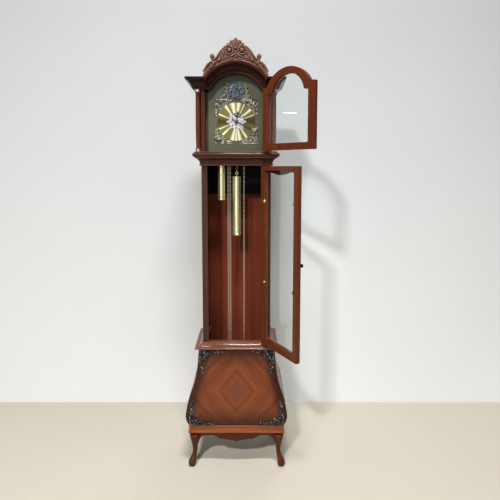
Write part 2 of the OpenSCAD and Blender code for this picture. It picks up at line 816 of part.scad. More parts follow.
// Two brass plates with their bushes, held apart by four turned pillars.
module movement_plates() {
  plates_w = plates_x[1] - plates_x[0];
  low_z = seat_z + seat_t;
  color(BRASS) {
    for (y = [plate_front_y, plate_rear_y]) difference() {
      translate([plates_x[0], y, low_z]) cube([plates_w, plate_t, plates_top_z - low_z]);
      for (x = [strike_x, going_x, chime_x]) translate([x, y - 1, wheel_z]) rotate([-90, 0, 0])
        cylinder(r = arbor_r + bush_gap, h = plate_t + 2);
      for (p = [[0, axis_z], [minute_x, minute_z], [pallet_x, pallet_z]])
        translate([p[0], y - 1, p[1]]) rotate([-90, 0, 0])
          cylinder(r = 2 + bush_gap, h = plate_t + 2);
    }
    for (x = [plates_x[0] + 5, plates_x[1] - 5], z = [low_z + 8, plates_top_z - 8])
      translate([x, plate_front_y + plate_t, z]) rotate([-90, 0, 0])
        cylinder(r = 4, h = plate_rear_y - plate_front_y - plate_t);
  }
}

// Wheel outline with narrow pointed teeth that run clear of the wheel they mesh with.
module toothed_wheel(teeth, tooth_size, phase = 0) {
  pitch_r = teeth * tooth_size / 2;
  step = 360 / teeth;
  polygon([for (i = [0:teeth - 1]) for (k = [[-0.33, -1.1], [-0.17, 0], [-0.07, 0.8],
    [0.07, 0.8], [0.17, 0], [0.33, -1.1]])
    let (a = phase + step * (i + k[0]), r = pitch_r + tooth_size * k[1])
    [r * cos(a), r * sin(a)]]);
}

// Motion work: cannon pinion and hour wheel on the centre, minute wheel beside them.
cannon_teeth = 12;
minute_teeth = 36;
minute_pinion_teeth = 10;
hour_teeth = 40;
motion_size = 5 / 6;
hour_size = 0.8;
motion_reach = (cannon_teeth + minute_teeth) * motion_size / 2;
minute_dir = 200;
minute_x = motion_reach * cos(minute_dir);
minute_z = axis_z + motion_reach * sin(minute_dir);
cannon_y = plate_front_y - 1;
hour_wheel_y = plate_front_y - 6;
hand_minute_y = dial_y - 9;
hand_hour_y = dial_y - 5;
minute_turn = -6 * minute_shown;
hour_turn = -30 * (hour_shown + minute_shown / 60);

module minute_arbor() {
  color(STEEL) translate([0, 0, axis_z]) {
    translate([0, hand_minute_y - 3, 0]) rotate([-90, 0, 0])
      cylinder(r = 2, h = plate_rear_y + plate_t + 2 - hand_minute_y + 3);
    slab_y(cannon_y - 3, cannon_y) toothed_wheel(cannon_teeth, motion_size, minute_dir);
  }
}

module hour_wheel() {
  color(BRASS) translate([0, 0, axis_z]) difference() {
    union() {
      slab_y(hour_wheel_y - 2, hour_wheel_y)
        toothed_wheel(hour_teeth, hour_size, minute_dir);
      translate([0, hour_wheel_y, 0]) rotate([90, 0, 0])
        cylinder(r = hour_pipe_r, h = hour_wheel_y - hand_hour_y + 1);
    }
    translate([0, hour_wheel_y + 1, 0]) rotate([90, 0, 0])
      cylinder(r = 2 + bush_gap, h = hour_wheel_y - hand_hour_y + 4);
  }
}

module minute_wheel() {
  color(BRASS) translate([minute_x, 0, minute_z]) {
    slab_y(cannon_y - 2.5, cannon_y - 0.5)
      toothed_wheel(minute_teeth, motion_size, minute_dir + 180 + 180 / minute_teeth);
    slab_y(hour_wheel_y - 2.5, cannon_y - 2.5)
      toothed_wheel(minute_pinion_teeth, hour_size, minute_dir + 180 + 180 / minute_pinion_teeth);
    translate([0, cannon_y - 0.5, 0]) rotate([-90, 0, 0])
      cylinder(r = 2, h = plate_t + 3);
  }
}

// A pierced hand: a collar, a stem, an open heart-shaped bulb and a pointed tip.
module hand_outline(reach, bulb_at, bulb_r, tail, stem) {
  difference() {
    union() {
      circle(r = 6);
      translate([-stem / 2, -tail]) square([stem, tail + bulb_at]);
      translate([0, -tail]) circle(r = stem * 1.1);
      translate([0, bulb_at]) circle(r = bulb_r);
      for (s = [-1, 1]) translate([s * bulb_r * 0.95, bulb_at - bulb_r * 0.55])
        circle(r = bulb_r * 0.45);
      polygon([[-stem, bulb_at], [stem, bulb_at], [0.6, reach], [-0.6, reach]]);
    }
    for (s = [-1, 1]) translate([s * bulb_r * 0.45, bulb_at]) circle(r = bulb_r * 0.33);
  }
}

module hour_hand() {
  color(BLACK) translate([0, 0, axis_z]) rotate([0, -hour_turn, 0])
    slab_y(hand_hour_y, hand_hour_y + 1) difference() {
      hand_outline(48, 30, 10, 12, 3.4);
      circle(r = hour_pipe_r);
    }
}

module minute_hand() {
  color(BLACK) translate([0, 0, axis_z]) rotate([0, -minute_turn, 0]) {
    slab_y(hand_minute_y, hand_minute_y + 1) difference() {
      hand_outline(82, 52, 5.6, 18, 2.6);
      circle(r = 2);
    }
    translate([0, hand_minute_y, 0]) rotate([90, 0, 0]) difference() {
      cylinder(r = 4, h = 2.4);
      translate([0, 0, -1]) cylinder(r = 2, h = 5);
    }
  }
}

// A chain wheel on its arbor: a grooved drum between two flanges, and the toothed great wheel.
great_teeth = 48;
great_size = 0.76;
flange_gap = link_w / 2 + 0.6;
drum_r = chain_r - link_w / 2 - 0.4;

module chain_wheel(x) {
  translate([x, 0, wheel_z]) {
    translate([0, plate_front_y - 1, 0]) rotate([-90, 0, 0])
      cylinder(r = arbor_r, h = plate_rear_y + plate_t + 2 - plate_front_y);
    translate([0, chain_y, 0]) rotate([-90, 0, 0]) {
      translate([0, 0, -flange_gap]) cylinder(r = drum_r, h = 2 * flange_gap);
      for (z = [-flange_gap - 2, flange_gap]) translate([0, 0, z]) cylinder(r = 18, h = 2);
    }
    slab_y(chain_y + flange_gap + 6, chain_y + flange_gap + 8)
      toothed_wheel(great_teeth, great_size);
    translate([0, chain_y + flange_gap + 2, 0]) rotate([-90, 0, 0]) cylinder(r = 6, h = 4);
  }
}

module strike_chain_wheel() {
  color(BRASS) chain_wheel(strike_x);
}

module going_chain_wheel() {
  color(BRASS) chain_wheel(going_x);
}

module chime_chain_wheel() {
  color(BRASS) chain_wheel(chime_x);
}

// The pallets rock on their arbor, and the leader that drives the pendulum hangs behind.
module pallets_and_leader() {
  leader_len = 240;
  color(STEEL) translate([pallet_x, 0, pallet_z]) {
    translate([0, plate_front_y - 1, 0]) rotate([-90, 0, 0])
      cylinder(r = 2, h = leader_y + 2 - plate_front_y + 1);
    slab_y(chain_y - 22, chain_y - 19) {
      circle(r = 5);
      for (s = [-1, 1]) polygon([[0, 4], [s * 20, -6], [s * 22, -15], [s * 17, -13], [0, -3]]);
    }
    slab_y(leader_y - 1, leader_y + 1) {
      circle(r = 5);
      translate([-3, -leader_len]) square([6, leader_len]);
      translate([0, -leader_len]) circle(r = 5);
    }
  }
}

rod_count = 8;
rod_gap = 13;
rod_y = back_y - 22;
rod_block_z = plates_top_z + 26;

// An iron block on the back board with tuned rods of falling length.
module chime_rods() {
  span = (rod_count - 1) * rod_gap;
  color(STEEL) {
    translate([-span / 2 - 12, rod_y - 9, rod_block_z]) cube([span + 24, back_y - rod_y + 9, 20]);
    for (i = [0:rod_count - 1]) translate([i * rod_gap - span / 2, rod_y, 0]) {
      length = 300 - 11 * i;
      translate([0, 0, rod_block_z - length]) cylinder(r = 1.5, h = length + 1);
      translate([0, 0, rod_block_z - 8]) cylinder(r = 3, h = 8);
    }
  }
}

// ---------------------------------------------------------------- chains and weights

// One stadium-shaped link of round wire, long way up, turned about its long axis.
module link(turn) {
  bend = (link_w - link_wire) / 2;
  straight = link_len - link_w;
  rotate([0, 0, turn]) {
    for (end = [-1, 1]) translate([0, 0, end * straight / 2]) rotate([90, 0, 0])
      rotate([0, 0, end < 0 ? 180 : 0])
        rotate_extrude(angle = 180, $fn = 16) translate([bend, 0]) circle(d = link_wire, $fn = 13);
    for (side = [-1, 1]) translate([side * bend, 0, -straight / 2])
      cylinder(d = link_wire, h = straight, $fn = 13);
  }
}

// A straight strand hanging from a chain wheel, with links numbered 0 to count.
module strand(x, count) {
  for (i = [0:count])
    translate([x, chain_y, strand_top_z - i * link_pitch]) link(i % 2 == 0 ? 0 : 90);
}

// Middle of a ring of wire that hangs in the last link of such a strand.
function hung_ring_z(count, ring_r, wire_r) =
  strand_top_z - count * link_pitch - (link_len - link_wire) / 2 + link_wire / 2 + wire_r - ring_r;

// The five links that lie over a chain wheel.
module chain_loop(x) {
  for (i = [0:4]) {
    a = loop_step * (i + 0.5);
    translate([x + chain_r * cos(a), chain_y, wheel_z + chain_r * sin(a)])
      rotate([0, -a, 0]) link(i % 2 == 0 ? 90 : 0);
  }
}

hook_ring_r = 6.4;
hook_wire_r = 1.5;
hook_rise = 14;
end_ring_r = 7;
end_wire_r = 1.4;
strike_weight_z = hung_ring_z(strike_links, hook_ring_r, hook_wire_r) - hook_rise
  - strike_weight_len;
going_weight_z = hung_ring_z(going_links, hook_ring_r, hook_wire_r) - hook_rise
  - going_weight_len;
strike_weight_x = strike_x - chain_r;
strike_free_x = strike_x + chain_r;
going_weight_x = going_x + chain_r;
going_free_x = going_x - chain_r;
chime_free_x = chime_x - chain_r;
chime_hook_x = chime_x + chain_r;

module chain_over_wheels() {
  color(STEEL) {
    chain_loop(strike_x);
    chain_loop(going_x);
  }
}

module strike_weight_chain() {
  color(STEEL) strand(strike_weight_x, strike_links);
}

module going_weight_chain() {
  color(STEEL) strand(going_weight_x, going_links);
}

module strike_free_chain() {
  color(STEEL) strand(strike_free_x, free_links);
}

module going_free_chain() {
  color(STEEL) strand(going_free_x, free_links);
}

// The chime train's chain, parked without a weight: its loop, free strand and hook end.
module chime_chain() {
  color(STEEL) {
    chain_loop(chime_x);
    strand(chime_free_x, free_links);
    strand(chime_hook_x, 3);
  }
}

// A ring that stops the free end of a chain from running through the movement.
module chain_ring(x) {
  translate([x, chain_y, hung_ring_z(free_links, end_ring_r, end_wire_r)]) rotate([0, 90, 0])
    rotate_extrude() translate([end_ring_r, 0]) circle(r = end_wire_r, $fn = 16);
}

module strike_chain_ring() {
  color(BRASS) chain_ring(strike_free_x);
}

module going_chain_ring() {
  color(BRASS) chain_ring(going_free_x);
}

// A weight: a polished tube with turned ends, and an open hook on a stem.
module clock_weight(x, z, d, length) {
  r = d / 2;
  translate([x, chain_y, z]) {
    rotate_extrude($fn = 64) polygon(concat(
      [[0, 0], [r - 3, 0]],
      arc([r - 2, 2], 2, -90, 0, 4),
      [[r, 9], [r - 0.8, 10], [r - 0.8, length - 10], [r, length - 9]],
      arc([r - 2, length - 2], 2, 0, 90, 4),
      [[r - 3, length], [0, length]]));
    translate([0, 0, length - 1]) cylinder(r = 1.6, h = hook_rise - hook_ring_r + 1);
    translate([0, 0, length + hook_rise]) rotate([90, 0, 0])
      rotate_extrude() translate([hook_ring_r, 0]) circle(r = hook_wire_r, $fn = 16);
  }
}

module strike_weight() {
  color(BRASS) clock_weight(strike_weight_x, strike_weight_z, strike_weight_d, strike_weight_len);
}

module going_weight() {
  color(BRASS) clock_weight(going_weight_x, going_weight_z, going_weight_d, going_weight_len);
}

// ---------------------------------------------------------------- hinges

hinge_tall = 50;
knuckle_r = 2.5;
pin_r = 1.2;
leaf_t = 0.8;
leaf_reach = 14;
TRUNK_HINGES = [trunk_z + 120, waist_z - 170];
HOOD_HINGES = [hood_z + 40, cornice_z - 90];

// The half of a butt hinge that stays on the case: a leaf, two knuckles and the pin.
module case_leaf(pin, door_face_y, z) {
  end = hinge_tall * 0.32;
  translate([pin[0], pin[1], z]) {
    for (low = [0, hinge_tall - end]) {
      translate([0, 0, low]) cylinder(r = knuckle_r, h = end);
      translate([0.1, 0, low]) cube([leaf_t, door_face_y - pin[1] + 1, end]);
    }
    cylinder(r = pin_r, h = hinge_tall);
  }
  translate([pin[0] + 0.1, door_face_y, z]) cube([leaf_t, leaf_reach, hinge_tall]);
}

// The half that turns with the door: a leaf and one bored knuckle.
module door_leaf(pin, door_face_y, z) {
  end = hinge_tall * 0.32;
  mid = hinge_tall - 2 * end - 0.6;
  difference() {
    union() {
      translate([pin[0], pin[1], z + end + 0.3]) cylinder(r = knuckle_r, h = mid);
      translate([pin[0] - 0.1 - leaf_t, pin[1], z + end + 0.3])
        cube([leaf_t, door_face_y - pin[1] + 1, mid]);
      translate([pin[0] - 0.1 - leaf_t, door_face_y, z]) cube([leaf_t, leaf_reach, hinge_tall]);
    }
    translate([pin[0], pin[1], z - 1]) cylinder(r = pin_r + bush_gap, h = hinge_tall + 2);
  }
}

module case_hinge_leaves() {
  color(BRASS) {
    for (z = TRUNK_HINGES) case_leaf(trunk_pin, front_y, z);
    for (z = HOOD_HINGES) case_leaf(hood_pin, hood_y, z);
  }
}

// ---------------------------------------------------------------- trunk door

pane_x = [trunk_door_x[0] + trunk_stile_w, trunk_door_x[1] - trunk_stile_w];
trunk_head_w = 24;
pane_z = [trunk_door_z[0] + trunk_rail_w, trunk_door_z[1] - trunk_head_w];
pane_front_y = front_y + frame_t - 8;

// Pocket in the back of the door that takes the glass.
module trunk_pocket() {
  translate([pane_x[0] - pane_lap, pane_front_y, pane_z[0] - pane_lap])
    cube([pane_x[1] - pane_x[0] + 2 * pane_lap, 20, pane_z[1] - pane_z[0] + 2 * pane_lap]);
}

module trunk_door_stiles() {
  color(MAHOGANY) swing(trunk_pin, trunk_door_open) difference() {
    for (x = [trunk_door_x[0], pane_x[1]])
      translate([x, front_y, trunk_door_z[0]])
        cube([trunk_stile_w, frame_t, trunk_door_z[1] - trunk_door_z[0]]);
    trunk_pocket();
  }
}

// The top rail's lower edge is a serpentine that hangs lowest in the middle.
module trunk_door_rails() {
  half = (pane_x[1] - pane_x[0]) / 2;
  mid = (pane_x[1] + pane_x[0]) / 2;
  color(MAHOGANY) swing(trunk_pin, trunk_door_open) difference() {
    union() {
      translate([pane_x[0], front_y, trunk_door_z[0]]) cube([2 * half, frame_t, trunk_rail_w]);
      translate([mid, 0, pane_z[1]]) slab_y(front_y, front_y + frame_t) polygon(concat(
        [[half, trunk_head_w], [-half, trunk_head_w]],
        [for (i = [-16:16]) let (u = abs(i) / 16)
          [half * i / 16, u > 0.8 ? -2 : -2 - 6 * (1 + cos(225 * u))]]));
    }
    trunk_pocket();
  }
}

module trunk_door_glass() {
  color(GLASS) swing(trunk_pin, trunk_door_open)
    translate([pane_x[0] - pane_lap + 0.5, pane_front_y, pane_z[0] - pane_lap + 0.5])
      cube([pane_x[1] - pane_x[0] + 2 * pane_lap - 1, glass_t,
            pane_z[1] - pane_z[0] + 2 * pane_lap - 1]);
}

knob_up = 400;
CLIPS = [0.344, 0.827];

// A clip on the back of a stile: a block on the glass, a tab on the wood and a screw.
module glass_clip(edge_x, z, dir) {
  rear = front_y + frame_t;
  translate([edge_x, 0, z]) scale([dir, 1, 1]) {
    translate([0.5, pane_front_y + glass_t, -5]) cube([4, rear - pane_front_y - glass_t, 10]);
    translate([0.5, rear, -5]) cube([13, 1.2, 10]);
    translate([9, rear + 1.2, 0]) rotate([-90, 0, 0]) cylinder(r1 = 3, r2 = 2, h = 1.4);
  }
}

// Glass clips, the turned knob and the door's hinge leaves.
module trunk_door_fittings() {
  color(BRASS) swing(trunk_pin, trunk_door_open) {
    for (part = CLIPS) {
      z = pane_z[0] + part * (pane_z[1] - pane_z[0]);
      glass_clip(pane_x[0], z, -1);
      glass_clip(pane_x[1], z, 1);
    }
    translate([trunk_door_x[0] + 13, front_y, trunk_door_z[0] + knob_up]) rotate([90, 0, 0])
      rotate_extrude() polygon(concat([[0, 0], [6, 0], [6, 2], [3, 4], [3, 10]],
        arc([2.5, 15], 5.5, -60, 90, 8), [[0, 20.5]]));
    for (z = TRUNK_HINGES) door_leaf(trunk_pin, front_y, z);
  }
}

// ---------------------------------------------------------------- hood door

hood_pane_x = [hood_door_x[0] + hood_stile_w, hood_door_x[1] - hood_stile_w];
hood_pane_front_y = hood_y + frame_t - 8;

module hood_door_outline() {
  translate([hood_door_x[0], hood_door_z[0]])
    square([hood_door_x[1] - hood_door_x[0], hood_door_z[1] - hood_door_z[0]]);
  intersection() {
    translate([0, arch_z]) circle(r = hood_door_r, $fn = 96);
    translate([-hood_door_r, hood_door_z[1] - 1]) square([2 * hood_door_r, hood_door_r]);
  }
}

// The sight opening of the hood door, let out by lap for the glass pocket.
module hood_sight(lap = 0) {
  translate([hood_pane_x[0] - lap, hood_door_z[0] + hood_rail_w - lap])
    square([hood_pane_x[1] - hood_pane_x[0] + 2 * lap,
            pane_shoulder_z - hood_door_z[0] - hood_rail_w + 2 * lap]);
  intersection() {
    translate([0, pane_arch_z]) circle(r = pane_arch_r + lap, $fn = 96);
    translate([-pane_arch_r - lap, pane_shoulder_z - 1]) square([2 * (pane_arch_r + lap), 200]);
  }
}

module hood_door_blank() {
  difference() {
    slab_y(hood_y, frame_back_y) difference() {
      hood_door_outline();
      hood_sight();
    }
    slab_y(hood_pane_front_y, frame_back_y + 1) hood_sight(pane_lap);
  }
}

// The head of the hood door: its arched top rail, between the two stiles.
module hood_head_zone() {
  translate([hood_pane_x[0], hood_y - 1, pane_shoulder_z - 1e-9])
    cube([hood_pane_x[1] - hood_pane_x[0], frame_t + 2, arch_r + hood_stile_w]);
}

module hood_door_frame() {
  color(MAHOGANY) swing(hood_pin, hood_door_open) difference() {
    hood_door_blank();
    hood_head_zone();
  }
}

module hood_door_head() {
  color(MAHOGANY) swing(hood_pin, hood_door_open) intersection() {
    hood_door_blank();
    hood_head_zone();
  }
}

module hood_door_glass() {
  color(GLASS) swing(hood_pin, hood_door_open)
    slab_y(hood_pane_front_y, hood_pane_front_y + glass_t) hood_sight(pane_lap - 0.5);
}

// A wooden bead that holds the glass, and the door's hinge leaves.
module hood_door_fittings() {
  color(MAHOGANY) swing(hood_pin, hood_door_open) {
    slab_y(hood_pane_front_y + glass_t, frame_back_y) difference() {
      hood_sight(pane_lap - 0.5);
      hood_sight(0.5);
    }
    for (z = HOOD_HINGES) door_leaf(hood_pin, hood_y, z);
  }
}

// ---------------------------------------------------------------- assembly

front_legs();
rear_legs();
aprons();
plinth_moulding();
base_floor();
bombe_front();
bombe_sides();
base_back_board();
base_carvings();
cap_moulding();
trunk_sides();
trunk_posts();
trunk_back_board();
waist_moulding();
hood_sides();
hood_back_board();
hood_frame();
hood_columns();
column_caps();
cornice_sides();
cornice_arch();
hood_roof();
crest();
dial_liner();
dial_plate();
chapter_disc();
dial_centre();
arch_boss();
spandrels();
seat_board();
movement_plates();
chime_rods();
case_hinge_leaves();
chain_over_wheels();
trunk_door_stiles();
trunk_door_rails();
trunk_door_glass();
trunk_door_fittings();
hood_door_frame();
hood_door_head();
hood_door_glass();
hood_door_fittings();
minute_hand();
hour_hand();
minute_arbor();
hour_wheel();
minute_wheel();
strike_chain_wheel();
going_chain_wheel();
chime_chain_wheel();
pallets_and_leader();
strike_weight();
going_weight();
strike_weight_chain();
going_weight_chain();
strike_free_chain();
going_free_chain();
chime_chain();
strike_chain_ring();
going_chain_ring();
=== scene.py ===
# %% [markdown]
# # A longcase clock with its doors open
#
# This lesson dresses the solids of a tall weight-driven clock: a mahogany case on cabriole
# legs, a swelling veneered base, an arched brass dial under a carved crest, and two brass
# weights on chains. The solids come ready packed, each at its place, and each rides on the
# body that moves it. What is added here is what a cabinet maker, a carver, a brass founder
# and a polisher would add: grain, varnish, carving, engraving and polish.

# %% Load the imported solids
import json
import math

import bmesh
import bpy
import numpy as np
from mathutils import Matrix, Vector
from mathutils.bvhtree import BVHTree


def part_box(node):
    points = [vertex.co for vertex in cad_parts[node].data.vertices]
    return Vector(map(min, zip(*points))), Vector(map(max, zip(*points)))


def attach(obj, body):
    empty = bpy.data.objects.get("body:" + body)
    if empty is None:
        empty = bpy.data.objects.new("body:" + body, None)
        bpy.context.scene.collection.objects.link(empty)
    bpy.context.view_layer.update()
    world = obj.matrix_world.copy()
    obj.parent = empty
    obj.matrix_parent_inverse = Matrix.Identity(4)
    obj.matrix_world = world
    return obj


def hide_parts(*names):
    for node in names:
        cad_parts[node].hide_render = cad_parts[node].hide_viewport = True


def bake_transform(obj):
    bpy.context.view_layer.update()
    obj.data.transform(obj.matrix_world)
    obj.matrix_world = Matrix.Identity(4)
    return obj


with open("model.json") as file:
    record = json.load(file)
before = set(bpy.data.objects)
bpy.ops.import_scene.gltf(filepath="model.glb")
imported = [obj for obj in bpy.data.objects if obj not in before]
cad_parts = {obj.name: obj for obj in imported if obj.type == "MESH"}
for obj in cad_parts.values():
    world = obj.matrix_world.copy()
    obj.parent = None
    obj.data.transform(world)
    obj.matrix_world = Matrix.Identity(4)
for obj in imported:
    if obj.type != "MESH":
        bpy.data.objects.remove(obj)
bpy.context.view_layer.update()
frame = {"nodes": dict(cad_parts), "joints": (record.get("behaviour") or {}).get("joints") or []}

MM = 0.001
solids = frame["nodes"]

# %% [markdown]
# ## A shorthand for shader nodes
#
# A procedural finish is a graph of small nodes. Writing each node and its links out by hand
# takes four lines, so a few helpers do it: they make a node, set its options, and fill each
# socket with either a plain value or a link from another node.

# %% Nodes and their sockets
def fill(tree, node, sockets):
    """Fills a node's sockets. A value that is itself a socket is linked, any other is set."""
    for key, value in sockets.items():
        if isinstance(value, bpy.types.NodeSocket):
            tree.links.new(value, node.inputs[key])
        else:
            node.inputs[key].default_value = value


def put(tree, kind, sockets=None, **options):
    """Adds a node, sets its options and fills its sockets."""
    node = tree.nodes.new("ShaderNode" + kind)
    for option, value in options.items():
        setattr(node, option, value)
    fill(tree, node, sockets or {})
    return node


def calc(tree, operation, a, b=0.0, c=0.0):
    return put(tree, "Math", {0: a, 1: b, 2: c}, operation=operation).outputs[0]


def blend_colours(tree, factor, a, b):
    return put(tree, "Mix", {0: factor, 6: a, 7: b}, data_type="RGBA").outputs[2]


def ramp(tree, factor, stops):
    """A smooth ramp through (place, value) stops, where a value is a grey or a colour."""
    node = put(tree, "ValToRGB", {0: factor})
    bands = node.color_ramp.elements
    while len(bands) < len(stops):
        bands.new(0.5)
    for band, (place, value) in zip(bands, stops):
        band.position = place
        band.color = (value,) * 3 + (1,) if isinstance(value, (int, float)) else value
    return node.outputs[0]


print("nodes can be put and linked")

# %% Places, noise and bumps
def object_place(tree):
    return put(tree, "TexCoord").outputs["Object"]


def axes(tree):
    """The object's own x, y and z as three sockets."""
    return put(tree, "SeparateXYZ", {0: object_place(tree)}).outputs


def noise(tree, place, scale, detail, **more):
    sockets = {"Vector": place, "Scale": scale, "Detail": detail, **more}
    return put(tree, "TexNoise", sockets).outputs[0]


def bump(tree, height, strength, distance):
    sockets = {"Strength": strength, "Distance": distance, "Height": height}
    return put(tree, "Bump", sockets).outputs[0]


print("places, noise and bumps ready")

# %% Groups and materials
def shader_group(name, inputs, outputs):
    """A node group with named sockets: (name, kind, value) in, (name, kind) out."""
    group = bpy.data.node_groups.new(name, "ShaderNodeTree")
    for label, kind, value in inputs:
        socket = group.interface.new_socket(
            name=label, in_out="INPUT", socket_type="NodeSocket" + kind)
        socket.default_value = value
    for label, kind in outputs:
        group.interface.new_socket(
            name=label, in_out="OUTPUT", socket_type="NodeSocket" + kind)
    return group, group.nodes.new("NodeGroupInput").outputs, group.nodes.new("NodeGroupOutput")


def new_material(name):
    """A fresh material, its tree and its shader."""
    material = bpy.data.materials.new(name)
    material.use_nodes = True
    return material, material.node_tree, material.node_tree.nodes["Principled BSDF"]


def recolour(material, change):
    """Puts change(tree, colour) between a material's colour and its shader."""
    tree = material.node_tree
    socket = tree.nodes["Principled BSDF"].inputs["Base Color"]
    tree.links.new(change(tree, socket.links[0].from_socket), socket)


print("groups and materials can be made")

# %% [markdown]
# ## Mahogany figure, as a group
#
# Sawn mahogany shows three things at three scales: ribbon stripes a few centimetres wide,
# where the fibres lean one way and then the other, a fine fibre, and short dark pores that
# stain collects in. All of them are drawn out along the grain, so the group works in a
# space whose Z axis is the grain, squeezed along Z. Noise has no edges, so the figure runs
# over the mouldings with no seam.

# %% The mahogany figure
WHITE, BLACK = (1, 1, 1, 1), (0, 0, 0, 1)
PORE_STAIN = (0.02, 0.008, 0.005, 1)
STRIPE_SHARE, FIBRE_SHARE, CLOUD_SHARE, PORE_SHARE = 0.42, 0.28, 0.36, 0.45


def make_wood_figure():
    group, given, result = shader_group(
        "wood figure",
        [("Grain space", "Vector", (0, 0, 0)), ("Light wood", "Color", WHITE),
         ("Dark wood", "Color", WHITE), ("Sheen", "Float", 0.3)],
        [("Colour", "Color"), ("Roughness", "Float"), ("Height", "Float")])

    def drawn_out(across, along, detail, distortion=0.0):
        squeezed = put(group, "Mapping", {"Vector": given["Grain space"],
                                          "Scale": (across, across, along)})
        return noise(group, squeezed.outputs[0], 1.0, detail, Distortion=distortion)

    ribbon = drawn_out(38, 1.4, 3, 0.6)
    fibre = drawn_out(420, 9, 4)
    pores = ramp(group, drawn_out(1500, 45, 1), [(0.30, 1.0), (0.38, 0.0)])
    cloud = drawn_out(7, 3, 2)
    stripes = ramp(group, ribbon, [(0.32, 0.0), (0.68, 1.0)])
    threads = ramp(group, fibre, [(0.3, 0.0), (0.7, 1.0)])
    figure = calc(group, "MULTIPLY", stripes, STRIPE_SHARE)
    figure = calc(group, "MULTIPLY_ADD", threads, FIBRE_SHARE, figure)
    figure = calc(group, "MULTIPLY_ADD", cloud, CLOUD_SHARE, figure)
    colour = blend_colours(group, figure, given["Dark wood"], given["Light wood"])
    fill(group, result, {
        "Colour": blend_colours(group, calc(group, "MULTIPLY", pores, PORE_SHARE), colour,
                                PORE_STAIN),
        "Roughness": calc(group, "MULTIPLY_ADD", fibre, 0.12, given["Sheen"]),
        "Height": calc(group, "SUBTRACT", calc(group, "MULTIPLY", fibre, 0.35), pores)})
    return group


WOOD_FIGURE = make_wood_figure()
print("group:", WOOD_FIGURE.name)

# %% [markdown]
# ## Glaze and painted shade in the hollows, as a group
#
# A polisher wipes a dark glaze over carving and mouldings and then rubs it off the high
# places. What stays in the hollows makes the carving read from across a room. The group
# finds the hollows with an occlusion test, and the proud edges with the same test turned
# inside out, so that it needs no painted map. The darkening of the hollows is partly that
# glaze and partly painted shade, and the paler proud edges are partly wear and partly
# painted highlight.

# %% The glaze and painted shade in the hollows
def make_glaze_and_shade():
    group, given, result = shader_group(
        "glaze and painted shade in hollows",
        [("Colour", "Color", WHITE), ("Glaze and shade", "Color", BLACK), ("Rubbed and highlit", "Color", WHITE),
         ("Depth", "Float", 0.8), ("Rub and highlight", "Float", 0.3), ("Reach", "Float", 0.006)],
        [("Colour", "Color")])
    hollow = put(group, "AmbientOcclusion", {"Distance": given["Reach"]}, samples=6)
    proud = put(group, "AmbientOcclusion", {"Distance": given["Reach"]}, samples=6, inside=True)
    # Dark hollows: partly glaze, partly painted shade. Pale proud edges: partly wear, partly painted
    # highlight.
    in_hollow = ramp(group, hollow.outputs["AO"], [(0.35, 1.0), (0.95, 0.0)])
    on_edge = ramp(group, proud.outputs["AO"], [(0.45, 1.0), (0.85, 0.0)])
    glazed_and_shaded = blend_colours(group, calc(group, "MULTIPLY", in_hollow, given["Depth"]),
                           given["Colour"], given["Glaze and shade"])
    fill(group, result, {"Colour": blend_colours(
        group, calc(group, "MULTIPLY", on_edge, given["Rub and highlight"]), glazed_and_shaded, given["Rubbed and highlit"])})
    return group


GLAZE_AND_SHADE = make_glaze_and_shade()
print("group:", GLAZE_AND_SHADE.name)

# %% [markdown]
# ## Handling marks, as a group
#
# Lacquered metal and varnish are never evenly glossy: hands, dust and a duster leave soft
# cloudy patches and fine streaks. The group gives one roughness value that wanders about
# the one it is told, a faint height for the bump, and the cloud itself for the colour.

# %% The handling marks
STREAK_SQUEEZE = (900, 900, 90)


def make_handling():
    group, given, result = shader_group(
        "handling marks",
        [("Roughness", "Float", 0.3), ("Amount", "Float", 0.1), ("Scale", "Float", 30.0)],
        [("Roughness", "Float"), ("Height", "Float"), ("Cloud", "Float")])
    place = object_place(group)
    cloud = noise(group, place, given["Scale"], 3.0)
    streaks = put(group, "Mapping", {"Vector": place, "Scale": STREAK_SQUEEZE})
    streak = noise(group, streaks.outputs[0], 1.0, 2.0)
    wander = calc(group, "SUBTRACT", calc(group, "ADD", calc(group, "MULTIPLY", cloud, 1.3),
                                          calc(group, "MULTIPLY", streak, 0.7)), 1.0)
    fill(group, result, {
        "Roughness": calc(group, "MULTIPLY_ADD", wander, given["Amount"], given["Roughness"]),
        "Height": streak, "Cloud": cloud})
    return group


HANDLING = make_handling()
print("group:", HANDLING.name)

# %% [markdown]
# ## Blots, as a group
#
# Fine carving and casting sparkle: each small slope catches the light or loses it. Cutting
# every one of them into the mesh would cost millions of faces, so that light and shade is
# painted on instead, as small blots of a second colour over the first: painted glints and
# painted shade. They are fixed to the surface, so they stay where they are from every side.

# %% The blots
def make_blots():
    group, given, result = shader_group(
        "blots",
        [("Colour", "Color", WHITE), ("Blots", "Color", BLACK), ("Scale", "Float", 150.0),
         ("Start", "Float", 0.5), ("End", "Float", 0.6), ("Share", "Float", 1.0)],
        [("Colour", "Color")])
    patches = noise(group, object_place(group), given["Scale"], 2.0)
    mask = put(group, "MapRange", {0: patches, 1: given["Start"], 2: given["End"], 3: 0.0,
                                   4: given["Share"]})
    fill(group, result, {"Colour": blend_colours(group, mask.outputs[0], given["Colour"],
                                                 given["Blots"])})
    return group


BLOTS = make_blots()


def mottle(material, scale, colour, start, end, share=1.0):
    """Blots of a second colour over a material's own, where the noise passes start to end."""
    recolour(material, lambda tree, own: put(tree, "Group", {
        "Colour": own, "Blots": colour, "Scale": scale, "Start": start, "End": end,
        "Share": share}, node_tree=BLOTS).outputs[0])


print("group:", BLOTS.name)

# %% [markdown]
# ## Wooden finishes
#
# One maker's function turns out every wooden finish of the case, since they differ only in
# stain, in the way the grain runs, in how much glaze and painted shade lies in their hollows
# and in how much painted highlight lies on their edges. Boards have
# the grain along their length. A mitred moulding has it along each run, so there the
# surface's own direction picks which way the grain lies.

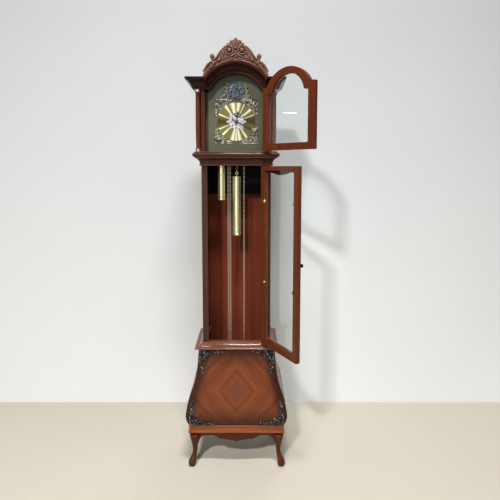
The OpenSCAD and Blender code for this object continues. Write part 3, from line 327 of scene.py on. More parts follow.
# %% A function for wooden finishes
# A stain is two colours: over the light and over the dark figure of the wood.
MAHOGANY = (0.150, 0.040, 0.014, 1), (0.060, 0.016, 0.007, 1)
GLAZE_AND_SHADE_COLOUR = (0.006, 0.003, 0.002, 1)
QUARTER_TURN = math.pi / 2
GRAIN_TURN = {"z": (0, 0, 0), "x": (0, QUARTER_TURN, 0), "y": (QUARTER_TURN, 0, 0)}


def grain_space(tree, along, swing):
    """Coordinates whose Z runs with the grain, on a part that was swung by an angle."""
    place = object_place(tree)
    if swing:
        place = put(tree, "VectorRotate", {"Vector": place, "Angle": -swing},
                    rotation_type="Z_AXIS").outputs[0]

    def turned(way):
        return put(tree, "Mapping", {"Vector": place, "Rotation": GRAIN_TURN[way]}).outputs[0]

    if along != "run":
        return turned(along)
    facing = put(tree, "SeparateXYZ", {0: put(tree, "TexCoord").outputs["Normal"]})
    on_side = calc(tree, "GREATER_THAN", calc(tree, "ABSOLUTE", facing.outputs[0]),
                   calc(tree, "ABSOLUTE", facing.outputs[1]))
    return put(tree, "Mix", {0: on_side, 4: turned("x"), 5: turned("y")},
               data_type="VECTOR").outputs[1]


def wooden(name, along="z", stain=MAHOGANY, swing=0.0, sheen=0.30, coat=0.5, glaze_and_shade=0.55,
           rub_and_highlight=0.15, reach=0.006, shine=0.06, lacquer=1.28, rubbed_and_highlit=None):
    """A varnished wood. Its hollows darken, partly wash and partly painted shade; its proud edges
    show the given colour or a paler stain, partly wear and partly painted highlight.
    """
    material, tree, varnish = new_material(name)
    figure = put(tree, "Group", {
        "Grain space": grain_space(tree, along, swing), "Light wood": stain[0],
        "Dark wood": stain[1], "Sheen": sheen}, node_tree=WOOD_FIGURE)
    glazed_and_shaded = put(tree, "Group", {
        "Colour": figure.outputs["Colour"], "Glaze and shade": GLAZE_AND_SHADE_COLOUR,
        "Rubbed and highlit": rubbed_and_highlit or tuple(1.5 * v for v in stain[0][:3]) + (1,),
        "Depth": glaze_and_shade, "Rub and highlight": rub_and_highlight, "Reach": reach}, node_tree=GLAZE_AND_SHADE)
    fill(tree, varnish, {
        "Base Color": glazed_and_shaded.outputs["Colour"], "Roughness": figure.outputs["Roughness"],
        "Normal": bump(tree, figure.outputs["Height"], 0.25, 0.0004),
        "Coat Weight": coat, "Coat Roughness": 0.06, "Coat IOR": lacquer,
        "Specular IOR Level": shine})
    return material


print("wooden finishes can be mixed")

# %% Stains for the case and the doors
TRUNK_SWING = math.radians(122.7)
HOOD_SWING = math.radians(136.0)
FACE = (0.185, 0.044, 0.013, 1), (0.066, 0.015, 0.006, 1)
HOOD_FACE = (0.150, 0.031, 0.009, 1), (0.054, 0.011, 0.004, 1)
GOLDEN = (0.430, 0.125, 0.036, 1), (0.140, 0.036, 0.013, 1)
DEEP = (0.110, 0.026, 0.011, 1), (0.045, 0.011, 0.005, 1)
INSIDE = (0.240, 0.050, 0.022, 1), (0.095, 0.020, 0.010, 1)
EBONISED = (0.030, 0.009, 0.005, 1), (0.010, 0.004, 0.003, 1)
MOULDED = (0.088, 0.021, 0.009, 1), (0.028, 0.007, 0.004, 1)
# The cap's stain is paler than the other mouldings': painted light, where its slope faces the lamps
# above.
CAPPED_PAINTED_LIGHT = (0.230, 0.066, 0.029, 1), (0.085, 0.023, 0.011, 1)
# The posts' stain is greyer than the doors': partly a painted reflection.
POSTS = (0.085, 0.036, 0.025, 1), (0.036, 0.016, 0.012, 1)
LEGS = (0.125, 0.032, 0.012, 1), (0.050, 0.013, 0.006, 1)
ARCHED = (0.055, 0.016, 0.009, 1), (0.020, 0.007, 0.005, 1)

upright_wood = wooden("mahogany upright")
deep_wood = wooden("mahogany inside", "z", INSIDE, sheen=0.42, coat=0.05)
# Its pale edge colour is painted highlight along the lips.
moulding_wood = wooden("mahogany moulding", "run", MOULDED, sheen=0.26, coat=0.8, glaze_and_shade=0.9,
                       rub_and_highlight=0.6, rubbed_and_highlit=(0.50, 0.27, 0.19, 1))
# The cap's paler finish is painted light from above.
cap_wood_painted_lit = wooden("mahogany cap, painted lighter", "run", CAPPED_PAINTED_LIGHT, sheen=0.26, coat=1.0, lacquer=1.5, glaze_and_shade=0.9,
                  rub_and_highlight=0.6, rubbed_and_highlit=(0.52, 0.27, 0.18, 1))
post_wood = wooden("mahogany post", "z", POSTS)
# Its pale edge colour is painted highlight along its edges.
plinth_wood = wooden("golden plinth", "run", GOLDEN, sheen=0.26, coat=0.8, glaze_and_shade=0.9,
                     rub_and_highlight=0.5, rubbed_and_highlit=(0.55, 0.30, 0.18, 1))
hood_frame_wood = wooden("mahogany hood frame", "z", DEEP, sheen=0.28)
leg_wood = wooden("mahogany leg", "z", LEGS, reach=0.012, glaze_and_shade=0.5)
apron_wood = wooden("mahogany apron", "run", DEEP)
cornice_wood = wooden("dark cornice", "run", EBONISED, sheen=0.26, coat=0.35, shine=0.04)
arch_wood = wooden("dark arch moulding", "run", ARCHED, sheen=0.26, coat=0.4, shine=0.04)
carcase_wood = wooden("dark carcase", "z", EBONISED, sheen=0.5, coat=0.0)
trunk_stile_wood = wooden("mahogany trunk stile", "z", FACE, TRUNK_SWING)
trunk_rail_wood = wooden("mahogany trunk rail", "x", FACE, TRUNK_SWING)
hood_stile_wood = wooden("mahogany hood stile", "z", HOOD_FACE, HOOD_SWING, coat=0.3)
hood_head_wood = wooden("mahogany hood head", "x", HOOD_FACE, HOOD_SWING, coat=0.3)
print("wooden finishes:", len(bpy.data.materials))

# %% Stains for the carvings
# The carved stain is paler and greyer than the boards': partly painted sheen of its varnish.
CARVED = (0.235, 0.110, 0.076, 1), (0.085, 0.036, 0.025, 1)
SOOTED = (0.020, 0.014, 0.013, 1), (0.006, 0.004, 0.004, 1)

# Its dark hollows are partly painted shade, and its pale edges are painted highlight.
carved_wood = wooden("carved mahogany", "x", CARVED, coat=0.8, glaze_and_shade=1.0, rub_and_highlight=0.6,
                     reach=0.010, shine=0.2)
# Its pale proud edges are painted glints.
ebonised_carving = wooden("ebonised carving", "x", SOOTED, sheen=0.12, coat=1.0, glaze_and_shade=0.9,
                          rub_and_highlight=0.6, reach=0.003, shine=0.15, rubbed_and_highlit=(0.340, 0.300, 0.280, 1))
# Dark blots are painted shade, and pale blots are painted glints.
mottle(ebonised_carving, 140.0, (0.004, 0.004, 0.004, 1), 0.42, 0.52)
mottle(ebonised_carving, 150.0, (0.50, 0.42, 0.39, 1), 0.60, 0.66, 0.8)
print("wooden finishes:", len(bpy.data.materials))

# %% [markdown]
# ## A shadow painted black on the top of the back board
#
# The top of the trunk's back board is painted black, behind the places where the chains come
# down, with an edge as straight as a ruler: a painted shadow, where the waist moulding shades
# the board. It could be a second board, but the solid is one, so the height picks between the
# board's own colour and a black stain.

# %% The back board with its painted shadow
# Painted shadow: black above a line this far below the waist moulding, with a soft edge.
SHADOW_DROP, SHADOW_EDGE = 0.139, 0.004
PAINTED_SHADOW_BLACK = (0.005, 0.004, 0.004, 1)
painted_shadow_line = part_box("waist_moulding")[0].z - SHADOW_DROP


def paint_shadow_above_line(tree, own):
    painted_shade_above = calc(tree, "DIVIDE", calc(tree, "SUBTRACT", axes(tree)[2], painted_shadow_line), SHADOW_EDGE)
    return blend_colours(tree, ramp(tree, painted_shade_above, [(0.0, 0.0), (1.0, 1.0)]), own, PAINTED_SHADOW_BLACK)


back_board_wood = wooden("mahogany back board", "z", INSIDE, sheen=0.42, coat=0.05)
recolour(back_board_wood, paint_shadow_above_line)
print("the painted shadow begins", round(painted_shadow_line, 3), "m up")

# %% [markdown]
# ## Matched veneer on the swelling front
#
# The front of the base is covered with four leaves of striped veneer, cut at a slant and
# turned about the middle, so that the stripes meet as diamonds inside one another. Round
# the field runs a border of plainer wood whose grain follows the edge. Distance from the
# middle, counted slantwise, is the same all along one diamond, so stripes of noise read
# along that distance give the match with no seam to draw.

# %% Where the veneer lies
front_low, front_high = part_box("bombe_front")
VENEER_HEART = front_low.z + 0.46 * (front_high.z - front_low.z)
LEAF_SLANT = 0.92
# Half width of the field, times four, against height from the foot to the neck of the base.
BORDER_LINE = [(0.0, 0.50), (0.06, 0.70), (0.12, 0.74), (0.30, 0.70), (0.55, 0.60),
               (0.78, 0.53), (0.88, 0.44), (0.95, 0.26), (1.0, 0.0)]


def slanted_places(tree):
    """Across from the middle, share of the height, and a leaf's two slanting directions."""
    place = axes(tree)
    across = calc(tree, "ABSOLUTE", place[0])
    up = calc(tree, "ABSOLUTE", calc(tree, "SUBTRACT", place[2], VENEER_HEART))
    share_up = calc(tree, "DIVIDE", calc(tree, "SUBTRACT", place[2], front_low.z),
                    front_high.z - front_low.z)
    diamond = calc(tree, "ADD", across, calc(tree, "MULTIPLY", up, LEAF_SLANT))
    return across, share_up, diamond, calc(tree, "SUBTRACT", across, up)


def outside_field(tree, across, share_up):
    """How far a place lies outside the field, on the border: a curve gives the edge."""
    half_width = put(tree, "FloatCurve", {1: share_up})
    curve = half_width.mapping.curves[0]
    curve.points[0].location, curve.points[1].location = BORDER_LINE[0], BORDER_LINE[-1]
    for x, y in BORDER_LINE[1:-1]:
        curve.points.new(x, y)
    half_width.mapping.update()
    return calc(tree, "SUBTRACT", calc(tree, "MULTIPLY", across, 4.0), half_width.outputs[0])


print("veneer's heart is", round(VENEER_HEART, 3), "m up")

# %% The matched veneer
LEAF_DARK, LEAF_LIGHT = (0.120, 0.032, 0.013, 1), (0.235, 0.064, 0.021, 1)
PALE_LEAF, HEARTWOOD = (0.380, 0.120, 0.040, 1), (0.150, 0.050, 0.030, 1)
RIM_TONE_AND_PAINTED_SHADE = (0.034, 0.013, 0.008, 1)


def veneered(name):
    material = wooden(name, "z", FACE, sheen=0.22, glaze_and_shade=0.3)
    tree = material.node_tree
    groups = {node.node_tree: node for node in tree.nodes if node.type == "GROUP"}
    across, share_up, diamond, along = slanted_places(tree)
    leaf = put(tree, "CombineXYZ", {0: diamond, 1: calc(tree, "MULTIPLY", along, 0.06)})
    broad = noise(tree, leaf.outputs[0], 30.0, 2.0)
    fine = noise(tree, leaf.outputs[0], 260.0, 2.0)
    broad = calc(tree, "MULTIPLY", ramp(tree, broad, [(0.34, 0.0), (0.66, 1.0)]), 0.68)
    stripes = calc(tree, "MULTIPLY_ADD", fine, 0.32, broad)
    field = blend_colours(tree, stripes, LEAF_DARK, LEAF_LIGHT)
    # One pale diamond stands out, where two leaves of the stripe happen to match.
    pale = ramp(tree, diamond, [(0.070, 0.0), (0.100, 0.20), (0.116, 0.0)])
    field = blend_colours(tree, pale, field, PALE_LEAF)
    # A heart of plainer, pinker wood in the smallest diamonds.
    heart = ramp(tree, diamond, [(0.025, 0.75), (0.075, 0.0)])
    field = blend_colours(tree, heart, field, HEARTWOOD)
    outside = outside_field(tree, across, share_up)
    border = ramp(tree, calc(tree, "MULTIPLY", outside, 12.0), [(0.0, 0.0), (1.0, 1.0)])
    bordered = blend_colours(tree, border, field, groups[WOOD_FIGURE].outputs["Colour"])
    # Darker towards the rim, partly a polisher's toning and partly painted shade where the
    # swell turns away; painted shade at the foot, which faces down, and a painted shadow of the
    # cap at the neck, all fading inwards.
    rim_tone_and_shade = ramp(tree, calc(tree, "MULTIPLY_ADD", outside, 3.2, 0.42), [(0.15, 0.0), (0.85, 0.85)])
    foot = ramp(tree, share_up, [(0.02, 0.85), (0.26, 0.0)])
    painted_cap_shadow = ramp(tree, share_up, [(0.72, 0.0), (0.98, 0.80)])
    toned_and_shaded = calc(tree, "MAXIMUM", rim_tone_and_shade, calc(tree, "MAXIMUM", foot, painted_cap_shadow))
    fill(tree, groups[GLAZE_AND_SHADE], {"Colour": blend_colours(tree, toned_and_shaded, bordered, RIM_TONE_AND_PAINTED_SHADE)})
    return material


veneer_wood = veneered("matched veneer")
print("veneer:", veneer_wood.name)

# %% [markdown]
# ## Metals, glass and enamel
#
# Four kinds of metal finish are on this clock: spun and lacquered brass (the hour disc and
# the weights), cast brass with a dark wash (the corner ornaments), silvered brass with
# black-filled engraving, and plain steel wire. One function makes the common part, a
# metallic surface with handling marks, and each finish then adds its own marks to the base
# colour and the bump.

# %% A function for metals
def metal(name, colour, roughness, wander=0.08, scale=30.0, metallic=1.0, tint=None, coat=0.0,
          dents=0.08):
    """A metallic finish whose colour drifts to a tint, by default a darker one, in clouds."""
    material, tree, shader = new_material(name)
    marks = put(tree, "Group", {"Roughness": roughness, "Amount": wander, "Scale": scale},
                node_tree=HANDLING)
    clouds = ramp(tree, marks.outputs["Cloud"], [(0.35, 0.0), (0.7, 1.0)])
    worn = tint or tuple(0.72 * v for v in colour[:3]) + (1,)
    fill(tree, shader, {
        "Base Color": blend_colours(tree, clouds, colour, worn),
        "Roughness": marks.outputs["Roughness"],
        "Normal": bump(tree, marks.outputs["Height"], dents, 0.0002),
        "Metallic": metallic, "Coat Weight": coat})
    return material


brass_metal = metal("polished brass", (0.78, 0.62, 0.30, 1), 0.24)
weight_brass = metal("lacquered weight brass", (0.95, 0.88, 0.52, 1), 0.24, 0.02, 12.0,
                     metallic=0.85, tint=(0.88, 0.81, 0.46, 1), dents=0.0)
plain_steel = metal("plain steel", (0.46, 0.45, 0.42, 1), 0.34)
chain_metal = metal("chain wire", (0.92, 0.86, 0.70, 1), 0.30, 0.1, 90.0, metallic=0.7)
cap_metal = metal("column cap metal", (0.66, 0.60, 0.50, 1), 0.34)
black_enamel = metal("black enamel", (0.012, 0.012, 0.014, 1), 0.30, 0.08, 60.0,
                     metallic=0.0, coat=0.6)
olive_plate = metal("olive lacquered plate", (0.088, 0.086, 0.049, 1), 0.42, 0.06, 9.0,
                    metallic=0.35, tint=(0.072, 0.074, 0.045, 1))
print("finishes so far:", len(bpy.data.materials))

# %% The dark wash on the castings, with painted shade and painted highlight
cast_metal = metal("washed cast ornament", (0.062, 0.058, 0.040, 1), 0.30, 0.08, 80.0)
# The dark wash in the hollows is partly painted shade, and the pale proud edges are painted
# highlight.
recolour(cast_metal, lambda tree, own: put(tree, "Group", {
    "Colour": own, "Glaze and shade": (0.016, 0.016, 0.010, 1), "Rubbed and highlit": (0.62, 0.60, 0.48, 1),
    "Depth": 0.95, "Rub and highlight": 0.45, "Reach": 0.0025}, node_tree=GLAZE_AND_SHADE).outputs["Colour"])
# Dark blots are painted shade, and pale blots are painted glints.
mottle(cast_metal, 120.0, (0.008, 0.008, 0.006, 1), 0.50, 0.56)
mottle(cast_metal, 170.0, (0.70, 0.67, 0.52, 1), 0.56, 0.62, 0.8)
print("castings:", cast_metal.name)

# %% [markdown]
# ## Glass
#
# The panes are clear float glass. Light has to reach what stands behind them, and a path
# tracer takes long to find its way through glass, so shadow rays pass the pane by.

# %% Window glass
def make_glass():
    material, tree, pane = new_material("window glass")
    smear = ramp(tree, noise(tree, object_place(tree), 9.0, 3.0), [(0.45, 0.0), (0.8, 0.05)])
    fill(tree, pane, {"Base Color": (0.90, 0.95, 0.93, 1), "Transmission Weight": 1.0,
                      "IOR": 1.45, "Roughness": smear})
    clear = put(tree, "BsdfTransparent", {"Color": (0.86, 0.90, 0.88, 1)})
    choice = put(tree, "MixShader", {0: put(tree, "LightPath").outputs["Is Shadow Ray"],
                                     1: pane.outputs[0], 2: clear.outputs[0]})
    fill(tree, tree.nodes["Material Output"], {"Surface": choice.outputs[0]})
    return material


window_glass = make_glass()
print("glass ready")

# %% [markdown]
# ## The spun hour disc
#
# The hour disc is brass turned under an abrasive pad, so its scratches run out from the
# middle like rays. Such a disc throws light back in bright wedges with brown gold between
# them. The scratches are too fine to model, so the angle about the hands' axis drives both
# a bump, which leans the surface to one side or the other, and painted reflections in the
# colour: bright rays, and dark wedges where the brass mirrors nothing bright.

# %% Angles about the hands' axis
disc_low, disc_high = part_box("chapter_disc")
DISC_MIDDLE = (disc_low + disc_high) / 2
DISC_RADIUS = (disc_high.x - disc_low.x) / 2


def polar(tree, middle):
    """Distance and angle (in turns, anticlockwise from the right) about a point of the dial."""
    place = axes(tree)
    across = calc(tree, "SUBTRACT", place[0], middle.x)
    up = calc(tree, "SUBTRACT", place[2], middle.z)
    far = put(tree, "VectorMath", {0: put(tree, "CombineXYZ", {0: across, 1: up}).outputs[0]},
              operation="LENGTH").outputs["Value"]
    turns = calc(tree, "DIVIDE", calc(tree, "ARCTAN2", up, across), 2 * math.pi)
    return far, turns


print("hour disc", round(2 * DISC_RADIUS / MM), "mm across")

# %% The spun hour disc
# Painted reflections: bright rays as (angle in degrees, half width), and the two dark wedges.
PAINTED_BRIGHT_RAYS = [(102, 11), (82, 9), (125, 6), (40, 6), (157, 3.5), (203, 3.0), (223, 5),
        (257, 9), (269, 5), (281, 9), (303, 5.5), (336, 2.4), (21, 2.0), (65, 2.5)]
PAINTED_DARK_WEDGES = [(180, 26), (2, 27)]
DISC_DARK, DISC_LIGHT = (0.10, 0.083, 0.016, 1), (0.34, 0.29, 0.085, 1)
PAINTED_WEDGE_COLOUR, PAINTED_RAY_COLOUR = (0.062, 0.052, 0.014, 1), (1.0, 0.95, 0.68, 1)


def spun_disc():
    material = metal("spun hour disc", DISC_LIGHT, 0.30, 0.04, metallic=0.75)
    tree = material.node_tree
    far, turns = polar(tree, DISC_MIDDLE)
    degrees = calc(tree, "MULTIPLY", turns, 360.0)

    def widest(wedges):
        """A mask that is 1 in the middle of each wedge and fades to 0 at its sides."""
        mask = 0.0
        for angle, half_width in wedges:
            gap = calc(tree, "WRAP", calc(tree, "SUBTRACT", degrees, angle), 180.0, -180.0)
            share = calc(tree, "DIVIDE", calc(tree, "ABSOLUTE", gap), half_width)
            mask = calc(tree, "MAXIMUM", ramp(tree, share, [(0.15, 1.0), (1.0, 0.0)]), mask)
        return mask

    round_and_out = put(tree, "CombineXYZ", {0: calc(tree, "MULTIPLY", turns, 60.0),
                                             1: calc(tree, "MULTIPLY", far, 8.0)})
    scratches = noise(tree, round_and_out.outputs[0], 6.0, 4.0)
    tone = blend_colours(tree, scratches, DISC_DARK, DISC_LIGHT)
    # Painted reflections: dark wedges, then bright rays, over the scratched tone.
    tone = blend_colours(tree, widest(PAINTED_DARK_WEDGES), tone, PAINTED_WEDGE_COLOUR)
    tone = blend_colours(tree, widest(PAINTED_BRIGHT_RAYS), tone, PAINTED_RAY_COLOUR)
    fill(tree, tree.nodes["Principled BSDF"], {
        "Base Color": tone, "Normal": bump(tree, scratches, 0.5, 0.0003)})
    return material


disc_brass = spun_disc()
print("rays on the disc:", len(PAINTED_BRIGHT_RAYS))

# %% [markdown]
# ## Silvering and engraving, as a group
#
# The centre and the boss are brass rubbed with silver powder, after a rose pattern was cut
# into them and filled with black wax. The group draws such a rose about a middle point:
# petals where the distance from the middle meets a wave of the angle, rings, and fine
# hatching between them. It gives back the cut lines as a mask.

# %% The engraved rose
PETAL_LINES = ((0.52, 0.30, 1.0), (0.30, 0.42, 0.6))
RING_LINES = (0.16, 0.93)
HATCH_END = 0.90


def make_rose():
    group, given, result = shader_group(
        "engraved rose",
        [("Far", "Float", 0.0), ("Turns", "Float", 0.0), ("Radius", "Float", 0.04),
         ("Petals", "Float", 8.0), ("Line", "Float", 0.03)],
        [("Cut", "Float")])
    out = calc(group, "DIVIDE", given["Far"], given["Radius"])
    swing = calc(group, "MULTIPLY", calc(group, "MULTIPLY", given["Turns"], given["Petals"]),
                 2 * math.pi)
    half_swing = calc(group, "MULTIPLY", swing, 0.5)
    petal = calc(group, "ABSOLUTE", calc(group, "COSINE", half_swing))
    between = calc(group, "ABSOLUTE", calc(group, "SINE", half_swing))

    def line_at(distance, share=1.0):
        gap = calc(group, "ABSOLUTE", calc(group, "SUBTRACT", out, distance))
        return calc(group, "LESS_THAN", gap, calc(group, "MULTIPLY", given["Line"], share))

    cut = line_at(calc(group, "MULTIPLY_ADD", petal, 0.34, 0.20))
    for low, tall, share in PETAL_LINES:
        cut = calc(group, "MAXIMUM", cut,
                   line_at(calc(group, "MULTIPLY_ADD", between, tall, low), share))
    for ring in RING_LINES:
        cut = calc(group, "MAXIMUM", cut, line_at(ring, 0.7))
    # Fine rays cut between the petals' tips and the outer ring.
    ray_wave = calc(group, "SINE", calc(group, "MULTIPLY", swing, 6.0))
    rays = calc(group, "GREATER_THAN", ray_wave, 0.3)
    past = calc(group, "GREATER_THAN", out, calc(group, "MULTIPLY_ADD", between, 0.30, 0.56))
    inside = calc(group, "LESS_THAN", out, HATCH_END)
    hatch = calc(group, "MULTIPLY", calc(group, "MULTIPLY", rays, past), inside)
    fill(group, result, {"Cut": calc(group, "MAXIMUM", cut, calc(group, "MULTIPLY", hatch, 0.6))})
    return group


ROSE = make_rose()
print("group:", ROSE.name)

# %% The silvered and engraved finishes
WAX = (0.012, 0.012, 0.014, 1)


def silvered(name, colour, node, petals, line):
    """Silvered brass with a rose cut about the middle of a node of the dial."""
    material = metal(name, colour, 0.3, 0.06, 60.0, metallic=0.85)
    tree = material.node_tree
    low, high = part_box(node)
    far, turns = polar(tree, (low + high) / 2)
    cut = put(tree, "Group", {"Far": far, "Turns": turns, "Radius": (high.x - low.x) / 2,
                              "Petals": petals, "Line": line}, node_tree=ROSE).outputs["Cut"]
    recolour(material, lambda tree, own: blend_colours(tree, cut, own, WAX))
    fill(tree, tree.nodes["Principled BSDF"], {
        "Normal": bump(tree, calc(tree, "SUBTRACT", 1.0, cut), 0.6, 0.0002)})
    return material


centre_silver = silvered("silvered centre", (0.93, 0.91, 0.92, 1), "dial_centre", 8.0, 0.022)
boss_silver = silvered("silvered boss", (0.26, 0.30, 0.335, 1), "arch_boss", 12.0, 0.028)
mottle(boss_silver, 170.0, (0.020, 0.024, 0.030, 1), 0.46, 0.54)
print("silvering ready")

# %% [markdown]
# ## Dressing the solids
#
# Most boards and mouldings have the right shape already. What they lack is what sanding and
# polishing do: edges softened by half a millimetre, which catch a line of light, and curves
# that are smooth to the eye. Four modifiers do that to a solid and leave its mesh alone:
# weld the faces together, make one face of each plane, round the sharp edges, and weight
# the normals so that flat faces stay flat.

# %% Sanded edges
WELD_WITHIN = 0.00002
SAME_PLANE, SHARP_EDGE = math.radians(0.6), math.radians(32)


def soften(solid, width):
    """Rounds a solid's sharp edges by a width, and leaves its mesh as it is."""
    weld = solid.modifiers.new("weld", "WELD")
    weld.merge_threshold = WELD_WITHIN
    flat = solid.modifiers.new("one face per plane", "DECIMATE")
    flat.decimate_type = "DISSOLVE"
    flat.angle_limit = SAME_PLANE
    if width:
        edge = solid.modifiers.new("sanded edge", "BEVEL")
        edge.width = width
        edge.segments = 2
        edge.limit_method = "ANGLE"
        edge.angle_limit = SHARP_EDGE
        edge.use_clamp_overlap = True
    weigh = solid.modifiers.new("even shading", "WEIGHTED_NORMAL")
    weigh.keep_sharp = not width


def dress(names, material, width=0.0006):
    """Gives CAD nodes a finish and sanded edges. Without a width they stay flat, like glass."""
    for name in names.split():
        solid = solids[name]
        solid.data.materials.clear()
        solid.data.materials.append(material)
        if "custom_normal" in solid.data.attributes:
            solid.data.attributes.remove(solid.data.attributes["custom_normal"])
        if width is None:
            solid.data.shade_flat()
            continue
        solid.data.shade_smooth()
        soften(solid, width)


print("solids can be dressed")

# %% Dress the solids of the case
THIN, FINE = 0.0003, 0.0002
dress("trunk_sides hood_sides hood_columns bombe_sides", upright_wood)
dress("trunk_posts", post_wood)
dress("front_legs rear_legs", leg_wood, 0.0)
dress("base_back_board", deep_wood)
dress("trunk_back_board", back_board_wood)
dress("waist_moulding", moulding_wood)
dress("cap_moulding", cap_wood_painted_lit)
dress("plinth_moulding", plinth_wood)
dress("hood_frame", hood_frame_wood)
dress("aprons", apron_wood)
dress("bombe_front", veneer_wood)
dress("cornice_sides", cornice_wood)
dress("cornice_arch", arch_wood)
dress("hood_roof hood_back_board base_floor dial_liner seat_board", carcase_wood)
dress("trunk_door_stiles", trunk_stile_wood)
dress("trunk_door_rails", trunk_rail_wood)
dress("hood_door_frame", hood_stile_wood)
dress("hood_door_head", hood_head_wood)
dress("trunk_door_glass hood_door_glass", window_glass, None)
dress("dial_plate", olive_plate, THIN)
dress("chapter_disc", disc_brass, FINE)
dress("arch_boss", boss_silver, FINE)
dress("column_caps", cap_metal, THIN)
dress("strike_weight going_weight", weight_brass, THIN)
dress("movement_plates hour_wheel minute_wheel strike_chain_wheel going_chain_wheel "
      "chime_chain_wheel case_hinge_leaves strike_chain_ring going_chain_ring", brass_metal, 0.0)
dress("chime_rods minute_arbor pallets_and_leader", plain_steel, 0.0)
print("dressed", sum(1 for s in solids.values() if s.modifiers), "solids")

# %% Dress the doors' fittings
# The hood door's glazing bead is wood, and its hinge leaves by the pin are brass. On the
# trunk door the knob stands farthest from the pin, and it is dark wood.
PIN_REACH, KNOB_REACH = 0.027, 0.236
pins = {joint["name"]: Vector(joint["pos_m"]).xy for joint in frame["joints"] if "pos_m" in joint}


def dress_in_two(name, first, second, is_second):
    """Gives one CAD node two finishes, by where each of its faces lies."""
    dress(name, first, 0.0)
    solid = solids[name]
    solid.data.materials.append(second)
    for face in solid.data.polygons:
        face.material_index = int(is_second(face.center))


dress_in_two("hood_door_fittings", hood_stile_wood, brass_metal,
             lambda middle: (middle.xy - pins["hood_door_hinge"]).length < PIN_REACH)
dress_in_two("trunk_door_fittings", brass_metal, carcase_wood,
             lambda middle: (middle.xy - pins["trunk_door_hinge"]).length > KNOB_REACH)
print("dressed", sum(1 for s in solids.values() if s.modifiers), "solids")

# %% [markdown]
# ## Carving by strokes
#
# A carver builds a crest from strokes of a gouge: stems, leaves with a vein down the
# middle, scrolls that wind in on themselves, and round buds. Each stroke here is a path in
# millimetres with a half width and a height along it. At any place of the wood the highest
# stroke wins, which leaves the sharp valleys that a gouge leaves. The outline is where the
# widest stroke ends, and it is cut exactly there, so the edge shows no saw teeth.

# %% Strokes of a gouge
STROKE_POINTS = 26
OUTSIDE = -9.0
LOBE_CUT, VEIN_CUT, SPINE_CUT = 0.3, 0.18, 0.55


def smooth_path(points):
    """A Catmull-Rom curve through the points."""
    p = np.array(points, float)
    p = np.vstack([2 * p[0] - p[1], p, 2 * p[-1] - p[-2]])
    at = np.linspace(0, len(p) - 3 - 1e-9, STROKE_POINTS)
    i = at.astype(int)
    t = (at - i)[:, None]
    a, b, c, d = p[i], p[i + 1], p[i + 2], p[i + 3]
    return 0.5 * (2 * b + (c - a) * t + (2 * a - 5 * b + 4 * c - d) * t ** 2
                  + (3 * b - a - 3 * c + d) * t ** 3)


def spiral(middle, outer, inner, start, turn):
    """Points that wind in round a middle. Angles are in degrees."""
    angles = np.radians(np.linspace(start, start + turn, STROKE_POINTS))
    radii = np.linspace(outer, inner, STROKE_POINTS)
    return np.stack([middle[0] + radii * np.cos(angles), middle[1] + radii * np.sin(angles)], 1)


def stroke(path, widths, heights, kind="round", lobes=0, veins=0):
    path = np.array(path, float) if len(path) == STROKE_POINTS else smooth_path(path)
    return {"path": path, "widths": np.atleast_1d(widths), "kind": kind, "lobes": lobes,
            "heights": np.atleast_1d(heights), "veins": veins}


def bud(middle, radius, height):
    return stroke([middle, (middle[0] + 0.01, middle[1])], radius, height)


print("a gouge of", STROKE_POINTS, "points a stroke")

# %% The wood under the strokes
def along_stroke(values, share):
    return np.interp(share, np.linspace(0, 1, len(values)), values)


def near_path(places, path):
    """Distance to a path, and the share of the way along it, for many places."""
    start, run = path[:-1], path[1:] - path[:-1]
    to = places[:, None] - start[None]
    share = np.clip((to * run).sum(2) / (run ** 2).sum(1), 0, 1)
    far = np.linalg.norm(to - share[..., None] * run, axis=2)
    best = far.argmin(1)
    rows = np.arange(len(places))
    return far[rows, best], (best + share[rows, best]) / len(run)


def carve(strokes, places):
    """How far inside the outline each place lies, and the height of the wood there."""
    inside = np.full(len(places), OUTSIDE)
    height = np.zeros(len(places))
    for cut in strokes:
        reach = cut["widths"].max() + 3
        low, high = cut["path"].min(0) - reach, cut["path"].max(0) + reach
        near = np.flatnonzero(((places > low) & (places < high)).all(1))
        far, share = near_path(places[near], cut["path"])
        width = along_stroke(cut["widths"], share)
        if cut["lobes"]:
            waves = np.abs(np.cos(math.pi * cut["lobes"] * share))
            width = width * (1 - LOBE_CUT * waves ** 3)
        across = np.clip(far / width, 0, 1)
        dome = np.sqrt(1 - across ** 2)
        if cut["kind"] == "leaf":
            dome = dome * (1 - SPINE_CUT * np.exp(-(across / 0.2) ** 2))
        if cut["veins"]:
            veins = 2 * math.pi * (cut["veins"] * share - 0.7 * across)
            dome = dome * (1 + VEIN_CUT * np.cos(veins))
        inside[near] = np.maximum(inside[near], width - far)
        height[near] = np.maximum(height[near], along_stroke(cut["heights"], share) * dome)
    return inside, height


print("strokes can be carved")

# %% [markdown]
# ## From strokes to a closed piece of wood
#
# The strokes are read on a fine grid. The grid is first raised by the distance to the
# outline and cut level with the ground, which leaves exactly the wood inside the outline.
# Then every point goes to its place on the clock at its carved height, the same points are
# laid again at the back, and a wall joins the two all the way round.

# %% The sheet inside an outline
ON_GROUND = 1e-5


